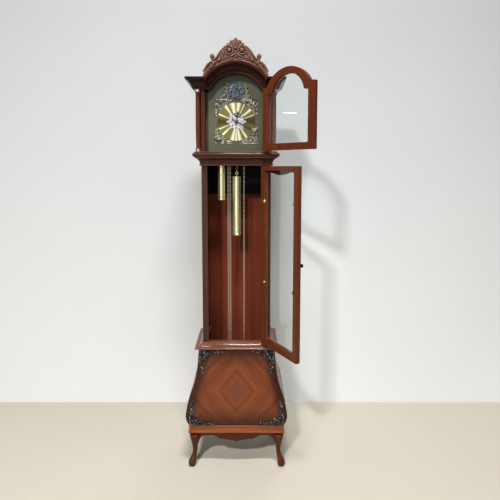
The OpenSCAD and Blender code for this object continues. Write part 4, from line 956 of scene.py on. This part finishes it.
def sheet_inside(outline, window, step):
    """A flat sheet of small faces that ends where outline(places) falls to zero."""
    across = np.arange(window[0], window[1] + step, step)
    up = np.arange(window[2], window[3] + step, step)
    grid = np.stack(np.meshgrid(across, up, indexing="ij"), -1).reshape(-1, 2)
    level = outline(grid)
    corner = (np.arange(len(across) - 1)[:, None] * len(up)
              + np.arange(len(up) - 1)[None]).ravel()
    quads = np.stack([corner, corner + len(up), corner + len(up) + 1, corner + 1], 1)
    quads = quads[level[quads].max(1) > 0]
    sheet = bpy.data.meshes.new("sheet")
    sheet.from_pydata(np.column_stack([grid, level]), [], quads.tolist())
    cut = bmesh.new()
    cut.from_mesh(sheet)
    bpy.data.meshes.remove(sheet)
    bmesh.ops.bisect_plane(cut, geom=cut.verts[:] + cut.edges[:] + cut.faces[:],
                           plane_co=(0, 0, 0), plane_no=(0, 0, -1), clear_outer=True,
                           dist=ON_GROUND)
    bmesh.ops.delete(cut, geom=[v for v in cut.verts if not v.link_faces], context="VERTS")
    cut.verts.index_update()
    return cut


print("sheets can be cut to an outline")

# %% A closed piece from sheets
def to_scene(name, data):
    """Puts an object that holds a mesh, a lamp or a camera into the scene."""
    thing = bpy.data.objects.new(name, data)
    bpy.context.scene.collection.objects.link(thing)
    return thing


class Carving:
    """Gathers carved shapes into one closed mesh."""

    def __init__(self):
        self.points, self.faces = [], []

    def add(self, outline, height, window, step, place):
        """outline(places) is positive in the wood; place(places, height) gives metres."""
        cut = sheet_inside(outline, window, step)
        flat = np.array([v.co[:2] for v in cut.verts])
        count, first = len(flat), sum(len(p) for p in self.points)
        front = [[v.index + first for v in f.verts] for f in cut.faces]
        back = [[i + count for i in reversed(f)] for f in front]
        walls = []
        for edge in cut.edges:
            if len(edge.link_loops) == 1:
                loop = edge.link_loops[0]
                a, b = loop.vert.index + first, loop.link_loop_next.vert.index + first
                walls.append([b, a, a + count, b + count])
        cut.free()
        self.points += [place(flat, height(flat)), place(flat, None)]
        self.faces += front + back + walls

    def make(self, name, body, material, replaced):
        mesh = bpy.data.meshes.new(name)
        mesh.from_pydata(np.vstack(self.points), [], self.faces)
        tidy = bmesh.new()
        tidy.from_mesh(mesh)
        bmesh.ops.recalc_face_normals(tidy, faces=tidy.faces)
        tidy.to_mesh(mesh)
        tidy.free()
        mesh.materials.append(material)
        mesh.shade_smooth()
        piece = to_scene(name, mesh)
        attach(piece, body)
        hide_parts(replaced)
        print(name, "has", len(mesh.polygons), "faces")


print("strokes can become wood")

# %% [markdown]
# ## The crest
#
# A shell of five petals crowns the crest, over two round bosses in scrolls. From them a
# plain hood curves down each side to a knob on a stem, and a long leaf runs on down the
# cornice and flicks its tip outwards. The half is drawn once, and its mirror image comes
# from reading every place by its distance from the middle.

# %% The crest's strokes
CREST_GROUND = [(0, -20), (0, 90), (10, 90), (24, 80), (34, 72), (47, 63), (60, 51), (70, 38),
                (79, 24), (88, 13), (97, 4), (108, -4), (118, -13), (126, -26), (133, -38),
                (134, -52), (132, -67), (60, -67)]
CREST_STROKES = [
    # Petals of the shell, from the middle one out, and the bud at their root.
    stroke([(0, 58), (0, 78), (0, 91)], (4, 7.5, 7.5), (7, 11, 8), "leaf"),
    stroke([(3, 58), (9, 72), (18.5, 83)], (3.5, 7, 7), (6, 10, 7), "leaf"),
    stroke([(5, 57), (16, 65), (31, 71)], (3, 6.5, 7), (6, 9, 6), "leaf"),
    bud((0, 55), 6, 10),
    # The hood over the bosses, in two parallel bands.
    stroke([(34, 66), (48, 60), (60, 48), (70, 35), (79, 21), (87, 11)], (3, 4.4, 4), (5, 7, 6)),
    stroke([(30, 62), (43, 55), (54, 44), (63, 31), (70, 18), (74, 8)], (2.5, 4, 3), (3, 5, 4)),
    # A boss in its scroll.
    bud((26.5, 46), 11, 13),
    stroke(spiral((26.5, 46), 17.5, 15.5, 75, -330), (2, 3.2, 3.4), (4, 8, 8)),
    # Leaves that fold down from the scroll, and the bud between them.
    stroke([(48, 40), (57, 26), (58, 12), (52, 4)], (3, 6, 2), (5, 7, 3), "leaf", veins=3),
    stroke([(40, 22), (48, 14), (46, 5)], (3, 5, 2), (4, 6, 3), "leaf"),
    stroke([(63, 24), (68, 14), (74, 4)], (3, 4, 3), (4, 6, 5), "leaf"),
    bud((71, 5), 8, 10),
    stroke([(2, 34), (12, 24), (28, 20), (42, 8)], (3, 4.5, 2), (6, 7, 3), "leaf", lobes=3),
    stroke(spiral((11, 28), 6, 1.5, -60, 420), (1.8, 2.4, 2), (5, 6, 7)),
    stroke([(0, 46), (0, 38), (0, 30)], (2, 4.5, 1), (5, 8, 3)),
    stroke([(8, 14), (24, 10), (40, 2)], (3, 4, 2), (4, 5, 3), "leaf", lobes=3),
    bud((0, 20), 4.5, 7),
    # The bead that lies along the cornice.
    stroke([(0, 3.5), (40, -1.5), (75, -15), (104, -36), (128, -64)], (3.2, 3.4, 3), (5, 5, 4)),
    # The knob on its stem.
    bud((100, 21.5), 10.5, 9),
    stroke(spiral((100, 21.5), 8, 2, 200, -380), (2.2, 2), (9, 11)),
    stroke([(101, 14), (100, 4), (94, -7)], (6, 4.5, 5), (8, 6, 7), "leaf"),
    bud((93, -8), 6.5, 11),
    stroke([(84, 14), (90, 10), (97, 9)], (4, 3.5, 3), (5, 6, 5)),
    # The long leaf, and its tip.
    stroke([(84, 0), (97, -14), (110, -27), (122, -42), (130, -58), (132, -66)],
           (5, 8.5, 8, 7, 4), (6, 9, 8, 5), "leaf", lobes=5, veins=7),
    stroke([(108, -2), (119, -12), (127, -24), (134, -35), (141, -40)], (3.5, 5, 4.5, 1.2),
           (6, 8, 7, 4), "leaf"),
    stroke([(122, -34), (132, -46), (139, -58)], (3, 5, 2), (5, 6, 3), "leaf"),
]


print("strokes on half the crest:", len(CREST_STROKES))

# %% Carve the crest
crest_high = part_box("crest")[1]
arch_low, arch_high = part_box("cornice_arch")
CREST_ROOT = arch_high.z / MM
CREST_BOARD = 9.0
CREST_FACE = crest_high.y / MM - CREST_BOARD
GROUND_H, ARCH_GAP = 2.0, 0.1
crest_reach, crest_top = crest_high.x / MM, crest_high.z / MM - CREST_ROOT
cornice_r = (arch_high.x - arch_low.x) / 2 / MM


def inside_polygon(places, polygon):
    """Distance to a closed outline, positive inside it."""
    ring = np.array(polygon + polygon[:1], float)
    far, _ = near_path(places, ring)
    x, y = places[:, 0, None], places[:, 1, None]
    ax, ay, bx, by = ring[:-1, 0], ring[:-1, 1], ring[1:, 0], ring[1:, 1]
    crosses = (ay > y) != (by > y)
    where = ax + (y - ay) * (bx - ax) / np.where(by == ay, 1, by - ay)
    odd = (crosses & (x < where)).sum(1) % 2 == 1
    return np.where(odd, far, -far)


def half(places):
    return np.column_stack([np.abs(places[:, 0]), places[:, 1]])


def crest_outline(places):
    wood = np.maximum(carve(CREST_STROKES, half(places))[0],
                      inside_polygon(half(places), CREST_GROUND))
    above_arch = np.hypot(places[:, 0], places[:, 1] + cornice_r) - cornice_r - ARCH_GAP
    return np.minimum(wood, above_arch)


def crest_height(places):
    return GROUND_H + carve(CREST_STROKES, half(places))[1]


def crest_place(places, height):
    y = np.full(len(places), crest_high.y / MM) if height is None else CREST_FACE - height
    return np.column_stack([places[:, 0], y, places[:, 1] + CREST_ROOT]) * MM


crest = Carving()
crest.add(crest_outline, crest_height, step=0.9, place=crest_place,
          window=(-crest_reach + 0.2, crest_reach - 0.2, -66, crest_top - 0.3))
crest.make("carved_crest", "case", carved_wood, "crest")

# %% [markdown]
# ## Corner carvings on the base
#
# Each corner of the swelling front carries a carved corner piece: a scroll in the corner,
# and from it two stems that throw leaves and small scrolls towards the panel, with one
# broad leaf on the diagonal. A thin web holds them together. The carver fits them to the
# swell, so a probe first finds how far forward the panel stands at each height.

# %% Feel the swell of the panel
probe = bmesh.new()
probe.from_mesh(solids["bombe_front"].data)
panel = BVHTree.FromBMesh(probe)
probe.free()
front_z = np.arange(front_low.z + 0.002, front_high.z - 0.001, 0.003)
front_y = np.array([panel.ray_cast(Vector((0, -1, z)), Vector((0, 1, 0)))[0].y for z in front_z])
print("the panel swells by", round((front_y.max() - front_y.min()) / MM), "mm")

# %% The corner pieces' strokes
CORNER_WEB = [(0, 0), (84, 0), (52, 4), (32, 9), (21, 15), (13, 23), (7, 38), (3, 60), (0, 76)]
VERTICAL_SHARE = 1.06


def corner_arm():
    """Strokes along the level arm of a corner piece."""
    yield stroke([(6, 8), (28, 4.5), (50, 8), (72, 5), (92, 8), (106, 6)], (4, 3.4, 2.4), (7, 6, 5))
    for i, (x, size) in enumerate(((33, 9.5), (56, 8), (76, 6.5), (92, 5))):
        yield stroke(spiral((x, 7 + size * 0.8), size, 1.5, -150, 440),
                     (3.2 - 0.3 * i, 2.8 - 0.2 * i, 2.2), (5, 7 - 0.5 * i, 9 - 0.8 * i))
        yield stroke([(x + 5, 8), (x + 12, 12 + size), (x + 19, 9 + size)],
                     (2.4, 4.6 - 0.5 * i, 1), (5, 7.5 - 0.6 * i, 3), "leaf")


def upright(cut):
    """The same stroke on the upright arm."""
    return {**cut, "path": cut["path"][:, ::-1] * (1, VERTICAL_SHARE)}


arm = list(corner_arm())
CORNER_STROKES = arm + [upright(cut) for cut in arm] + [
    stroke(spiral((14, 14), 12, 2.5, -135, 460), (4, 3.6, 3), (6, 8, 11)),
    stroke([(21, 21), (33, 31), (47, 46)], (5, 8.5, 1.2), (7, 10, 3), "leaf", lobes=3),
    stroke([(24, 22), (38, 26), (54, 23)], (3, 5.5, 1), (5, 8, 3), "leaf"),
    stroke([(22, 24), (26, 38), (23, 54)], (3, 5.5, 1), (5, 8, 3), "leaf"),
]


print("strokes on a corner piece:", len(CORNER_STROKES))

# %% Carve the corners of the base
WEB_H, PANEL_GAP, NECK_IN = 0.8, 0.3 * MM, 0.003


def corner_outline(places):
    return np.maximum(carve(CORNER_STROKES, places)[0], inside_polygon(places, CORNER_WEB))


def corner_height(places):
    return WEB_H + carve(CORNER_STROKES, places)[1]


def corner_place(side, edge, foot, way):
    """Puts a corner piece on the swell: side is -1 or 1, way is 1 upwards, -1 downwards."""
    def place(places, height):
        z = foot + way * places[:, 1] * MM
        y = np.interp(z, front_z, front_y)
        y = y + PANEL_GAP if height is None else y - height * MM
        return np.column_stack([side * (edge - places[:, 0] * MM), y, z])
    return place


carving_low, carving_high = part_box("base_carvings")
neck_edge = panel.ray_cast(Vector((1, front_y[-1] + NECK_IN, front_z[-1])),
                           Vector((-1, 0, 0)))[0].x - NECK_IN
corners = Carving()
for side in (-1, 1):
    for edge, foot, way in ((neck_edge, carving_high.z, -1), (carving_high.x, carving_low.z, 1)):
        corners.add(corner_outline, corner_height, window=(0.2, 110, 0.2, 116), step=0.8,
                    place=corner_place(side, edge, foot, way))
corners.make("carved_corners", "case", ebonised_carving, "base_carvings")

# %% [markdown]
# ## Cast ornaments of the dial
#
# Four cast corners fill the square outside the hour disc, and two brackets lean on the
# boss in the arch. They are thin pierced castings of small scrolls within a narrow edge,
# so the same strokes serve, on a finer grid. The disc and the boss cut them off in an arc.

# %% The castings' strokes
def cast_arm():
    """Strokes along one edge of a cast corner, whose corner is at the origin."""
    yield stroke([(3, 3), (40, 3.2), (77, 3)], (1.5, 1.3), (1.4, 1.2))
    for i, x in enumerate((29, 42, 53.5, 64, 73)):
        size = 6.6 - 0.75 * i
        yield stroke(spiral((x, 4.5 + size), size, 1.2, 200 + 60 * i, 480),
                     (1.15, 1.3, 1.2), (1.6, 2.2, 2.6))
        yield stroke([(x - 5, 3), (x - 6.5, 8 + size), (x - 4, 12 + size)], (1, 1.9, 0.6),
                     (1.5, 2.2, 1), "leaf")
        yield bud((x + 5, 5.5), 1.6, 2.4)


edge_strokes = list(cast_arm())
CAST_STROKES = edge_strokes + [{**cut, "path": cut["path"][:, ::-1]} for cut in edge_strokes] + [
    stroke(spiral((12, 12), 8.5, 1.5, -135, 560), (2, 1.8, 1.6), (2, 2.6, 3)),
    stroke([(17, 17), (22, 22), (31, 31)], (2, 4, 0.8), (2, 3, 1), "leaf"),
    stroke([(17, 19), (19, 27), (15, 36)], (1.2, 2.6, 0.6), (2, 2.6, 1), "leaf"),
    stroke([(19, 17), (27, 19), (36, 15)], (1.2, 2.6, 0.6), (2, 2.6, 1), "leaf"),
    bud((24, 36), 2, 2.6), bud((36, 24), 2, 2.6), bud((5, 5), 2.4, 2.4),
]
BRACKET_STROKES = [
    stroke([(24, -35), (48, -36), (72, -35)], (1.4, 1.5, 1.4), (1.4, 1.4)),
    stroke([(73, -33), (62, -14), (52, 12), (40, 32)], (1.4, 1.8, 1.4, 1), (1.5, 2, 1.4)),
    stroke(spiral((60, -25), 8, 1.5, -60, 500), (1.6, 1.5, 1.4), (1.8, 2.4, 3)),
    stroke(spiral((53, -8), 6.5, 1.3, -60, -480), (1.4, 1.4, 1.3), (1.8, 2.4, 2.8)),
    stroke(spiral((48, 8), 5, 1.2, -60, 450), (1.3, 1.3, 1.2), (1.6, 2.2, 2.6)),
    stroke([(44, 16), (40, 24), (37, 33)], (1.4, 2.8, 0.6), (2, 2.6, 1), "leaf"),
    stroke([(50, -28), (40, -30), (30, -34)], (1.6, 3, 0.8), (2, 2.6, 1), "leaf"),
    stroke([(48, -20), (42, -18), (38, -22)], (1.2, 2.4, 0.8), (1.6, 2.2, 1), "leaf"),
    bud((39, 36), 2.6, 2.6), bud((73, -33), 2.4, 2.4),
]
print("strokes on a casting:", len(CAST_STROKES), "and on a bracket:", len(BRACKET_STROKES))

# %% The openwork between the strokes
MESH_PITCH, MESH_HOLE = 4.4, 1.35
BEAD_H = 0.35


def openwork(places, edge):
    """A mesh of small round holes within an edge: how far inside its metal each place lies."""
    far = 99.0
    for shift in (0, 0.5):
        gap = (places / MESH_PITCH + shift) % 1 - 0.5
        far = np.minimum(far, np.hypot(gap[:, 0], gap[:, 1]) * MESH_PITCH)
    return np.minimum(far - MESH_HOLE, inside_polygon(places, edge))


def cut_by(strokes, edge, middle, radius):
    """Outline of strokes over openwork that a round plate about a middle cuts off."""
    def outline(places):
        clear = np.hypot(places[:, 0] - middle[0], places[:, 1] - middle[1]) - radius
        metal_there = np.maximum(carve(strokes, places)[0], openwork(places, edge))
        return np.minimum(metal_there, clear)
    return outline


def cast_height(strokes):
    def height(places):
        beads = np.cos(2 * math.pi * places / MESH_PITCH).prod(1)
        return np.maximum(carve(strokes, places)[1], BEAD_H + BEAD_H * beads)
    return height


print("holes are", MESH_PITCH, "mm apart")

# %% Cast the ornaments
cast_low, cast_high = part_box("spandrels")
boss_low, boss_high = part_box("arch_boss")
BOSS_MIDDLE = (boss_low + boss_high) / 2
BOSS_RADIUS = (boss_high.x - boss_low.x) / 2
corner_u, corner_v = cast_high.x / MM, (DISC_MIDDLE.z - cast_low.z) / MM
CAST_BASE_H, PLATE_GAP, CAST_STEP = 0.5, 0.3, 0.7
CAST_EDGE = [(2, 2), (70, 2), (72, 74), (2, 70)]
BRACKET_EDGE = [(22, -36), (73, -35), (63, -14), (53, 10), (41, 31), (36, 33), (30, -20)]


def cast_place(middle_x, middle_z, way_x, way_z):
    def place(places, height):
        y = np.full(len(places), cast_high.y) if height is None \
            else cast_high.y - (CAST_BASE_H + height) * MM
        return np.column_stack([middle_x + way_x * places[:, 0] * MM, y,
                                middle_z + way_z * places[:, 1] * MM])
    return place


castings = Carving()
for side in (-1, 1):
    for up in (-1, 1):
        castings.add(cut_by(CAST_STROKES, CAST_EDGE, (corner_u, corner_v),
                            DISC_RADIUS / MM + PLATE_GAP),
                     cast_height(CAST_STROKES), window=(1.2, 80, 1.2, 80), step=CAST_STEP,
                     place=cast_place(side * cast_high.x, DISC_MIDDLE.z + up * corner_v * MM,
                                      -side, -up))
    castings.add(cut_by(BRACKET_STROKES, BRACKET_EDGE, (0, 0), BOSS_RADIUS / MM + PLATE_GAP),
                 cast_height(BRACKET_STROKES), window=(22, 78, -38, 40), step=CAST_STEP,
                 place=cast_place(0, BOSS_MIDDLE.z, side, 1))
castings.make("cast_ornaments", "case", cast_metal, "spandrels")

# %% [markdown]
# ## The rose in the middle, and the hands
#
# The silvered centre isn't a plain disc: its edge is cut to the tips of the engraved
# petals, so that it looks like a frosted star on the brass. The two hands are sawn from
# steel sheet and blackened, with a crown of loops near the hour hand's tip and a broad
# leaf at the minute hand's. Strokes draw all three, and their own bodies turn the hands.

# %% Cut the star
star_low, star_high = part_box("dial_centre")
STAR_R = (star_high.x - star_low.x) / 2 / MM
STAR_RELIEF = 0.4


def star_outline(places):
    turn = np.arctan2(places[:, 1], places[:, 0])
    edge = STAR_R * (0.80 + 0.07 * np.cos(16 * turn) + 0.12 * np.cos(8 * turn))
    return edge - np.hypot(places[:, 0], places[:, 1])


def star_height(places):
    turn = np.arctan2(places[:, 1], places[:, 0])
    out = np.hypot(places[:, 0], places[:, 1]) / STAR_R
    return STAR_RELIEF * out * np.abs(np.cos(4 * turn))


def star_place(places, height):
    y = np.full(len(places), star_high.y) if height is None \
        else star_low.y + (STAR_RELIEF - height) * MM
    return np.column_stack([DISC_MIDDLE.x + places[:, 0] * MM, y,
                            DISC_MIDDLE.z + places[:, 1] * MM])


star = Carving()
star.add(star_outline, star_height, window=(-STAR_R, STAR_R, -STAR_R, STAR_R), step=0.8,
         place=star_place)
star.make("silvered_star", "case", centre_silver, "dial_centre")

# %% The hands' strokes
MINUTE_STROKES = [
    stroke([(0, -19), (0, -6), (0, 30), (0, 50)], (3.4, 2.2, 2.2, 2), 0.5),
    bud((0, 0), 6, 1.2), bud((0, -20), 3.6, 0.6),
    stroke(spiral((-4.4, 46), 3.6, 3.6, 0, 360), 1.3, 0.5),
    stroke(spiral((4.4, 46), 3.6, 3.6, 0, 360), 1.3, 0.5),
    stroke([(0, 49), (0, 60), (0, 71), (0, 80)], (2.4, 6, 4.6, 0.6), (0.5, 0.9, 0.5), "leaf"),
]
HOUR_STROKES = [
    stroke([(0, -13), (0, -5), (0, 24)], (3, 2.2, 2.2), 0.5),
    bud((0, 0), 9, 0.8), bud((0, -13), 3.4, 0.6),
    stroke([(-12, 25), (0, 21), (12, 25)], (1.8, 2.6, 1.8), 0.5),
    stroke(spiral((-7, 31), 5.4, 5.4, 0, 360), 1.7, 0.5),
    stroke(spiral((7, 31), 5.4, 5.4, 0, 360), 1.7, 0.5),
    bud((-14.5, 31), 2.6, 0.6), bud((14.5, 31), 2.6, 0.6),
    stroke([(0, 30), (0, 38), (0, 46.5)], (2, 4.6, 0.8), (0.5, 0.9, 0.5), "leaf"),
]


print("strokes:", len(MINUTE_STROKES), "on the minute hand,", len(HOUR_STROKES), "on the hour hand")

# %% Saw the hands
HAND_T = 0.8


def cut_hand(name, node, body, strokes, bore):
    """Saws a hand from sheet, pointing where its solid points."""
    low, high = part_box(node)
    tip = max((v.co for v in solids[node].data.vertices),
              key=lambda co: (co.x - DISC_MIDDLE.x) ** 2 + (co.z - DISC_MIDDLE.z) ** 2)
    turn = math.atan2(tip.x - DISC_MIDDLE.x, tip.z - DISC_MIDDLE.z)

    def outline(places):
        return np.minimum(carve(strokes, places)[0], np.hypot(*places.T) - bore)

    def place(places, height):
        x, z = places.T
        y = np.full(len(x), high.y) if height is None else high.y - (HAND_T + height) * MM
        return np.column_stack([DISC_MIDDLE.x + (x * math.cos(turn) + z * math.sin(turn)) * MM, y,
                                DISC_MIDDLE.z + (z * math.cos(turn) - x * math.sin(turn)) * MM])

    hand = Carving()
    hand.add(outline, lambda places: carve(strokes, places)[1], window=(-20, 20, -26, 84),
             step=0.6, place=place)
    hand.make(name, body, black_enamel, node)


cut_hand("blued_minute_hand", "minute_hand", "minute_set", MINUTE_STROKES, bore=2.0)
cut_hand("blued_hour_hand", "hour_hand", "hour_set", HOUR_STROKES, bore=4.0)

# %% [markdown]
# ## Chains, link by link
#
# A clock's chain is bent from plain wire into long oval links that hook into each other at
# right angles. The solids have the same links, and their boxes tell where each strand
# hangs. A strand over a weight or an end ring crosses a joint, from the wheel to the weight;
# its links are baked in place and ride on no body.

# %% Bend one link
LINK_LENGTH, LINK_WIDTH, WIRE = 13.0, 7.6, 1.5
BEND_POINTS, WIRE_SIDES = 7, 6


def link_ring():
    """Points round one upright link, ring after ring of its wire."""
    bend, straight = (LINK_WIDTH - WIRE) / 2, LINK_LENGTH - LINK_WIDTH
    rings = []
    for end in (1, -1):
        for turn in np.linspace(0, math.pi, BEND_POINTS):
            out = np.array([math.cos(turn) * end, 0, math.sin(turn) * end])
            middle = out * bend + (0, 0, end * straight / 2)
            for side in range(WIRE_SIDES):
                a = 2 * math.pi * side / WIRE_SIDES
                round_wire = math.cos(a) * out + math.sin(a) * np.array([0, 1, 0])
                rings.append(middle + WIRE / 2 * round_wire)
    return np.array(rings) * MM


LINK = link_ring()
print("points round a link:", len(LINK))

# %% Hook links into a chain
def chain(name, places, replaced, ends=None):
    """Links at 4 by 4 places. Without ends they ride on the case; with ends on no body."""
    count = len(LINK) // WIRE_SIDES
    quads = [[(r * WIRE_SIDES + s), (r * WIRE_SIDES + (s + 1) % WIRE_SIDES),
              ((r + 1) % count * WIRE_SIDES + (s + 1) % WIRE_SIDES),
              ((r + 1) % count * WIRE_SIDES + s)] for r in range(count) for s in range(WIRE_SIDES)]
    points, faces = [], []
    for place in places:
        turn = np.array(place)
        faces += [[i + len(points) * len(LINK) for i in quad] for quad in quads]
        points.append(LINK @ turn[:3, :3].T + turn[:3, 3])
    mesh = bpy.data.meshes.new(name)
    mesh.from_pydata(np.vstack(points), [], faces)
    mesh.materials.append(chain_metal)
    mesh.shade_smooth()
    piece = to_scene(name, mesh)
    if ends:
        body, start, end = ends
        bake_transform(piece)
        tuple(start)
        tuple(end)
    else:
        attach(piece, "case")
    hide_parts(replaced)
    print(name, "has", len(points), "links")


print("links can be hooked together")

# %% Where the links hang
PITCH = 9.85
LOOP_LINKS, LOOP_STEP = 5, math.radians(36)
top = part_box("strike_weight_chain")[1].z
CHAIN_Y = sum(corner.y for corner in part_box("strike_weight_chain")) / 2


def strand(x, y, top, foot):
    """Places of the links of a straight strand, every other one a quarter turn round."""
    count = round((top - foot - LINK_LENGTH * MM) / (PITCH * MM)) + 1
    for i in range(count):
        z = top - (LINK_LENGTH / 2 + i * PITCH) * MM
        yield Matrix.Translation((x, y, z)) @ Matrix.Rotation(i % 2 * QUARTER_TURN, 4, "Z")


def loop(wheel, radius):
    """Places of the links over a wheel."""
    low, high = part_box(wheel)
    for i in range(LOOP_LINKS):
        turn = LOOP_STEP * (i + 0.5)
        out = Vector((math.cos(turn), 0, math.sin(turn))) * radius
        yield (Matrix.Translation((low + high) / 2 * Vector((1, 0, 1)) + out
                                  + Vector((0, CHAIN_Y, 0)))
               @ Matrix.Rotation(-turn, 4, "Y")
               @ Matrix.Rotation((i + 1) % 2 * QUARTER_TURN, 4, "Z"))


def middle_x(node):
    return sum(corner.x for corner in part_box(node)) / 2


print("strands hang from", round(top, 3), "m up")

# %% Hang the chains
STRANDS = {"strike_weight_chain": "strike_weight", "going_weight_chain": "going_weight",
           "strike_free_chain": "strike_chain_end", "going_free_chain": "going_chain_end"}
for node, body in STRANDS.items():
    x, foot = middle_x(node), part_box(node)[0].z
    chain(node + "_links", strand(x, CHAIN_Y, top, foot), node,
          (body, (x, CHAIN_Y, top), (x, CHAIN_Y, foot)))

chain_r = abs(middle_x("strike_free_chain") - middle_x("strike_chain_wheel"))
chain("links_over_wheels", [*loop("strike_chain_wheel", chain_r),
                            *loop("going_chain_wheel", chain_r)], "chain_over_wheels")
parked_x = middle_x("chime_chain_wheel")
HOOK_LINKS = 4
hook_foot = top - (LINK_LENGTH + (HOOK_LINKS - 1) * PITCH) * MM
chain("parked_chain_links", [*loop("chime_chain_wheel", chain_r),
                             *strand(parked_x - chain_r, CHAIN_Y, top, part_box("chime_chain")[0].z),
                             *strand(parked_x + chain_r, CHAIN_Y, top, hook_foot)], "chime_chain")

# %% [markdown]
# ## Floor and wall
#
# The clock stands on a pale floor before a pale wall, and neither is part of it. A wall that
# stopped every ray would leave the back of the clock in the dark. So only camera, mirror and
# glass rays see this one, and every other ray passes it by.

# %% Floor and wall
WALL_GAP, WALL_FADE, ROOM = 0.255, 2.2, 6.0
wall_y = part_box("trunk_back_board")[1].y + WALL_GAP


def plain_finish(name, colour, painted_shade_above=None, see_through=False):
    """A matt finish. With a second colour, the first fades into it from the floor up: painted shade.
    """
    material, tree, surface = new_material(name)
    patches = calc(tree, "MULTIPLY", noise(tree, object_place(tree), 1.3, 4.0), 0.08)
    if painted_shade_above:
        height = calc(tree, "DIVIDE", axes(tree)[2], WALL_FADE)
        colour = ramp(tree, height, [(0.0, colour), (1.0, painted_shade_above)])
    fill(tree, surface, {"Base Color": blend_colours(tree, patches, colour, BLACK),
                         "Roughness": 0.7})
    if see_through:
        light = put(tree, "LightPath")
        seen = calc(tree, "MAXIMUM", light.outputs["Is Camera Ray"],
                    calc(tree, "MAXIMUM", light.outputs["Is Glossy Ray"],
                         light.outputs["Is Transmission Ray"]))
        front = calc(tree, "SUBTRACT", 1.0, put(tree, "NewGeometry").outputs["Backfacing"])
        clear = put(tree, "BsdfTransparent")
        choice = put(tree, "MixShader", {0: calc(tree, "MULTIPLY", seen, front),
                                         1: clear.outputs[0], 2: surface.outputs[0]})
        fill(tree, tree.nodes["Material Output"], {"Surface": choice.outputs[0]})
    return material


def backdrop(name, corners, material):
    mesh = bpy.data.meshes.new(name)
    mesh.from_pydata(corners, [], [(0, 1, 2, 3)])
    mesh.materials.append(material)
    panel = to_scene(name, mesh)


backdrop("floor", [(-ROOM, -ROOM, 0), (ROOM, -ROOM, 0), (ROOM, ROOM, 0), (-ROOM, ROOM, 0)],
         plain_finish("pale floor", (0.72, 0.665, 0.55, 1)))
# The wall fades to a darker colour towards the top: painted shade.
backdrop("wall", [(-ROOM, wall_y, 0), (ROOM, wall_y, 0), (ROOM, wall_y, ROOM),
                  (-ROOM, wall_y, ROOM)],
         plain_finish("pale wall", (0.97, 0.98, 1.0, 1), (0.43, 0.44, 0.447, 1), see_through=True))
print("wall stands", round(wall_y, 3), "m behind the feet's middle")

# %% [markdown]
# ## Lamps and sky
#
# A lamp high in front on the left and a strip overhead light the case and throw its shadow.
# A weaker lamp behind fills the back, and a grey sky fills the shadows. Polished metal has
# no look of its own: it shows what stands round it. So one more lamp, a card, is there only
# to be mirrored, and the sky is brighter in a mirror than on wood.

# %% Lamps
def lamp(name, place, target, size, watts):
    light = bpy.data.lights.new(name, "AREA")
    light.shape = "RECTANGLE"
    light.size, light.size_y = size
    light.energy = watts
    holder = to_scene(name, light)
    holder.location = place
    holder.rotation_euler = (Vector(target) - Vector(place)).to_track_quat("-Z", "Y").to_euler()
    return holder


lamp("front lamp", (-1.4, -4.5, 4.9), (0, 0, 0.7), size=(0.5, 0.35), watts=225)
lamp("overhead strip", (0.2, -1.6, 4.6), (0, 0, 0.5), size=(1.0, 0.3), watts=130)
# Only polished things mirror this card: it puts the bright line down the middle of a weight.
card = lamp("card for the brass", (-0.7, -2.3, 1.3), (0, 0, 1.15), size=(0.3, 1.6), watts=8)
card.visible_diffuse = False
lamp("rear fill", (1.5, 2.6, 2.6), (0, 0, 0.9), size=(2.0, 1.5), watts=22)

# %% Sky
# Metal and glass reflect a brighter room than the sky that fills the shadows.
SKY, ROOM_IN_METAL = 0.15, 0.45
sky = bpy.data.worlds.new("even sky")
sky.use_nodes = True
seen_in_metal = put(sky.node_tree, "LightPath").outputs["Is Glossy Ray"]
fill(sky.node_tree, sky.node_tree.nodes["Background"], {
    "Color": (0.93, 0.95, 0.96, 1),
    "Strength": calc(sky.node_tree, "MULTIPLY_ADD", seen_in_metal, ROOM_IN_METAL - SKY, SKY)})
bpy.context.scene.world = sky
print("sky:", SKY, "on wood,", ROOM_IN_METAL, "in metal")

# %% [markdown]
# ## A tube mirrored in the hood door
#
# Clear glass is seen by what it mirrors. A short white bar in the hood door's pane is the
# image of a lamp tube off to the left. Painting the bar on the pane would be wrong from
# every other side, so a real tube hangs where the pane sends the line of sight from the
# front, and its place follows from the eye and the plane of the pane.

# %% The mirrored tube
EYE = Vector((0.0609, -1.9134, 1.3588))
TUBE_FAR = 4.2
BAR_ALONG, BAR_DOWN = 0.013, 0.020
pane_low, pane_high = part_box("hood_door_glass")
along_pane = Vector((math.cos(HOOD_SWING), math.sin(HOOD_SWING), 0))
bar = (pane_low + pane_high) / 2 - BAR_ALONG * along_pane - Vector((0, 0, BAR_DOWN))
sight = (bar - EYE).normalized()
mirrored = sight.reflect(Vector((-along_pane.y, along_pane.x, 0)))
lamp("mirrored tube", bar + TUBE_FAR * mirrored, bar, size=(0.17, 0.011), watts=0.24)
print("the tube hangs at", tuple(round(v, 2) for v in bar + TUBE_FAR * mirrored))

# %% [markdown]
# ## Camera
#
# The camera stands about two metres off, level with the foot of the hood, and looks
# slightly down. A shift of the lens frames the whole case without tilting it further, which
# keeps the upright lines nearly parallel.

# %% Camera
lens = bpy.data.cameras.new("camera")
lens.sensor_width = 36.0
lens.lens = 29.91
lens.shift_y = -0.0907
lens.clip_start, lens.clip_end = 0.05, 50
camera = to_scene("camera", lens)
camera.location = EYE
camera.rotation_euler = (math.radians(84.94), 0, 0)
bpy.context.scene.camera = camera
bpy.context.scene.view_settings.view_transform = "Standard"
print("camera", tuple(round(v, 3) for v in camera.location))
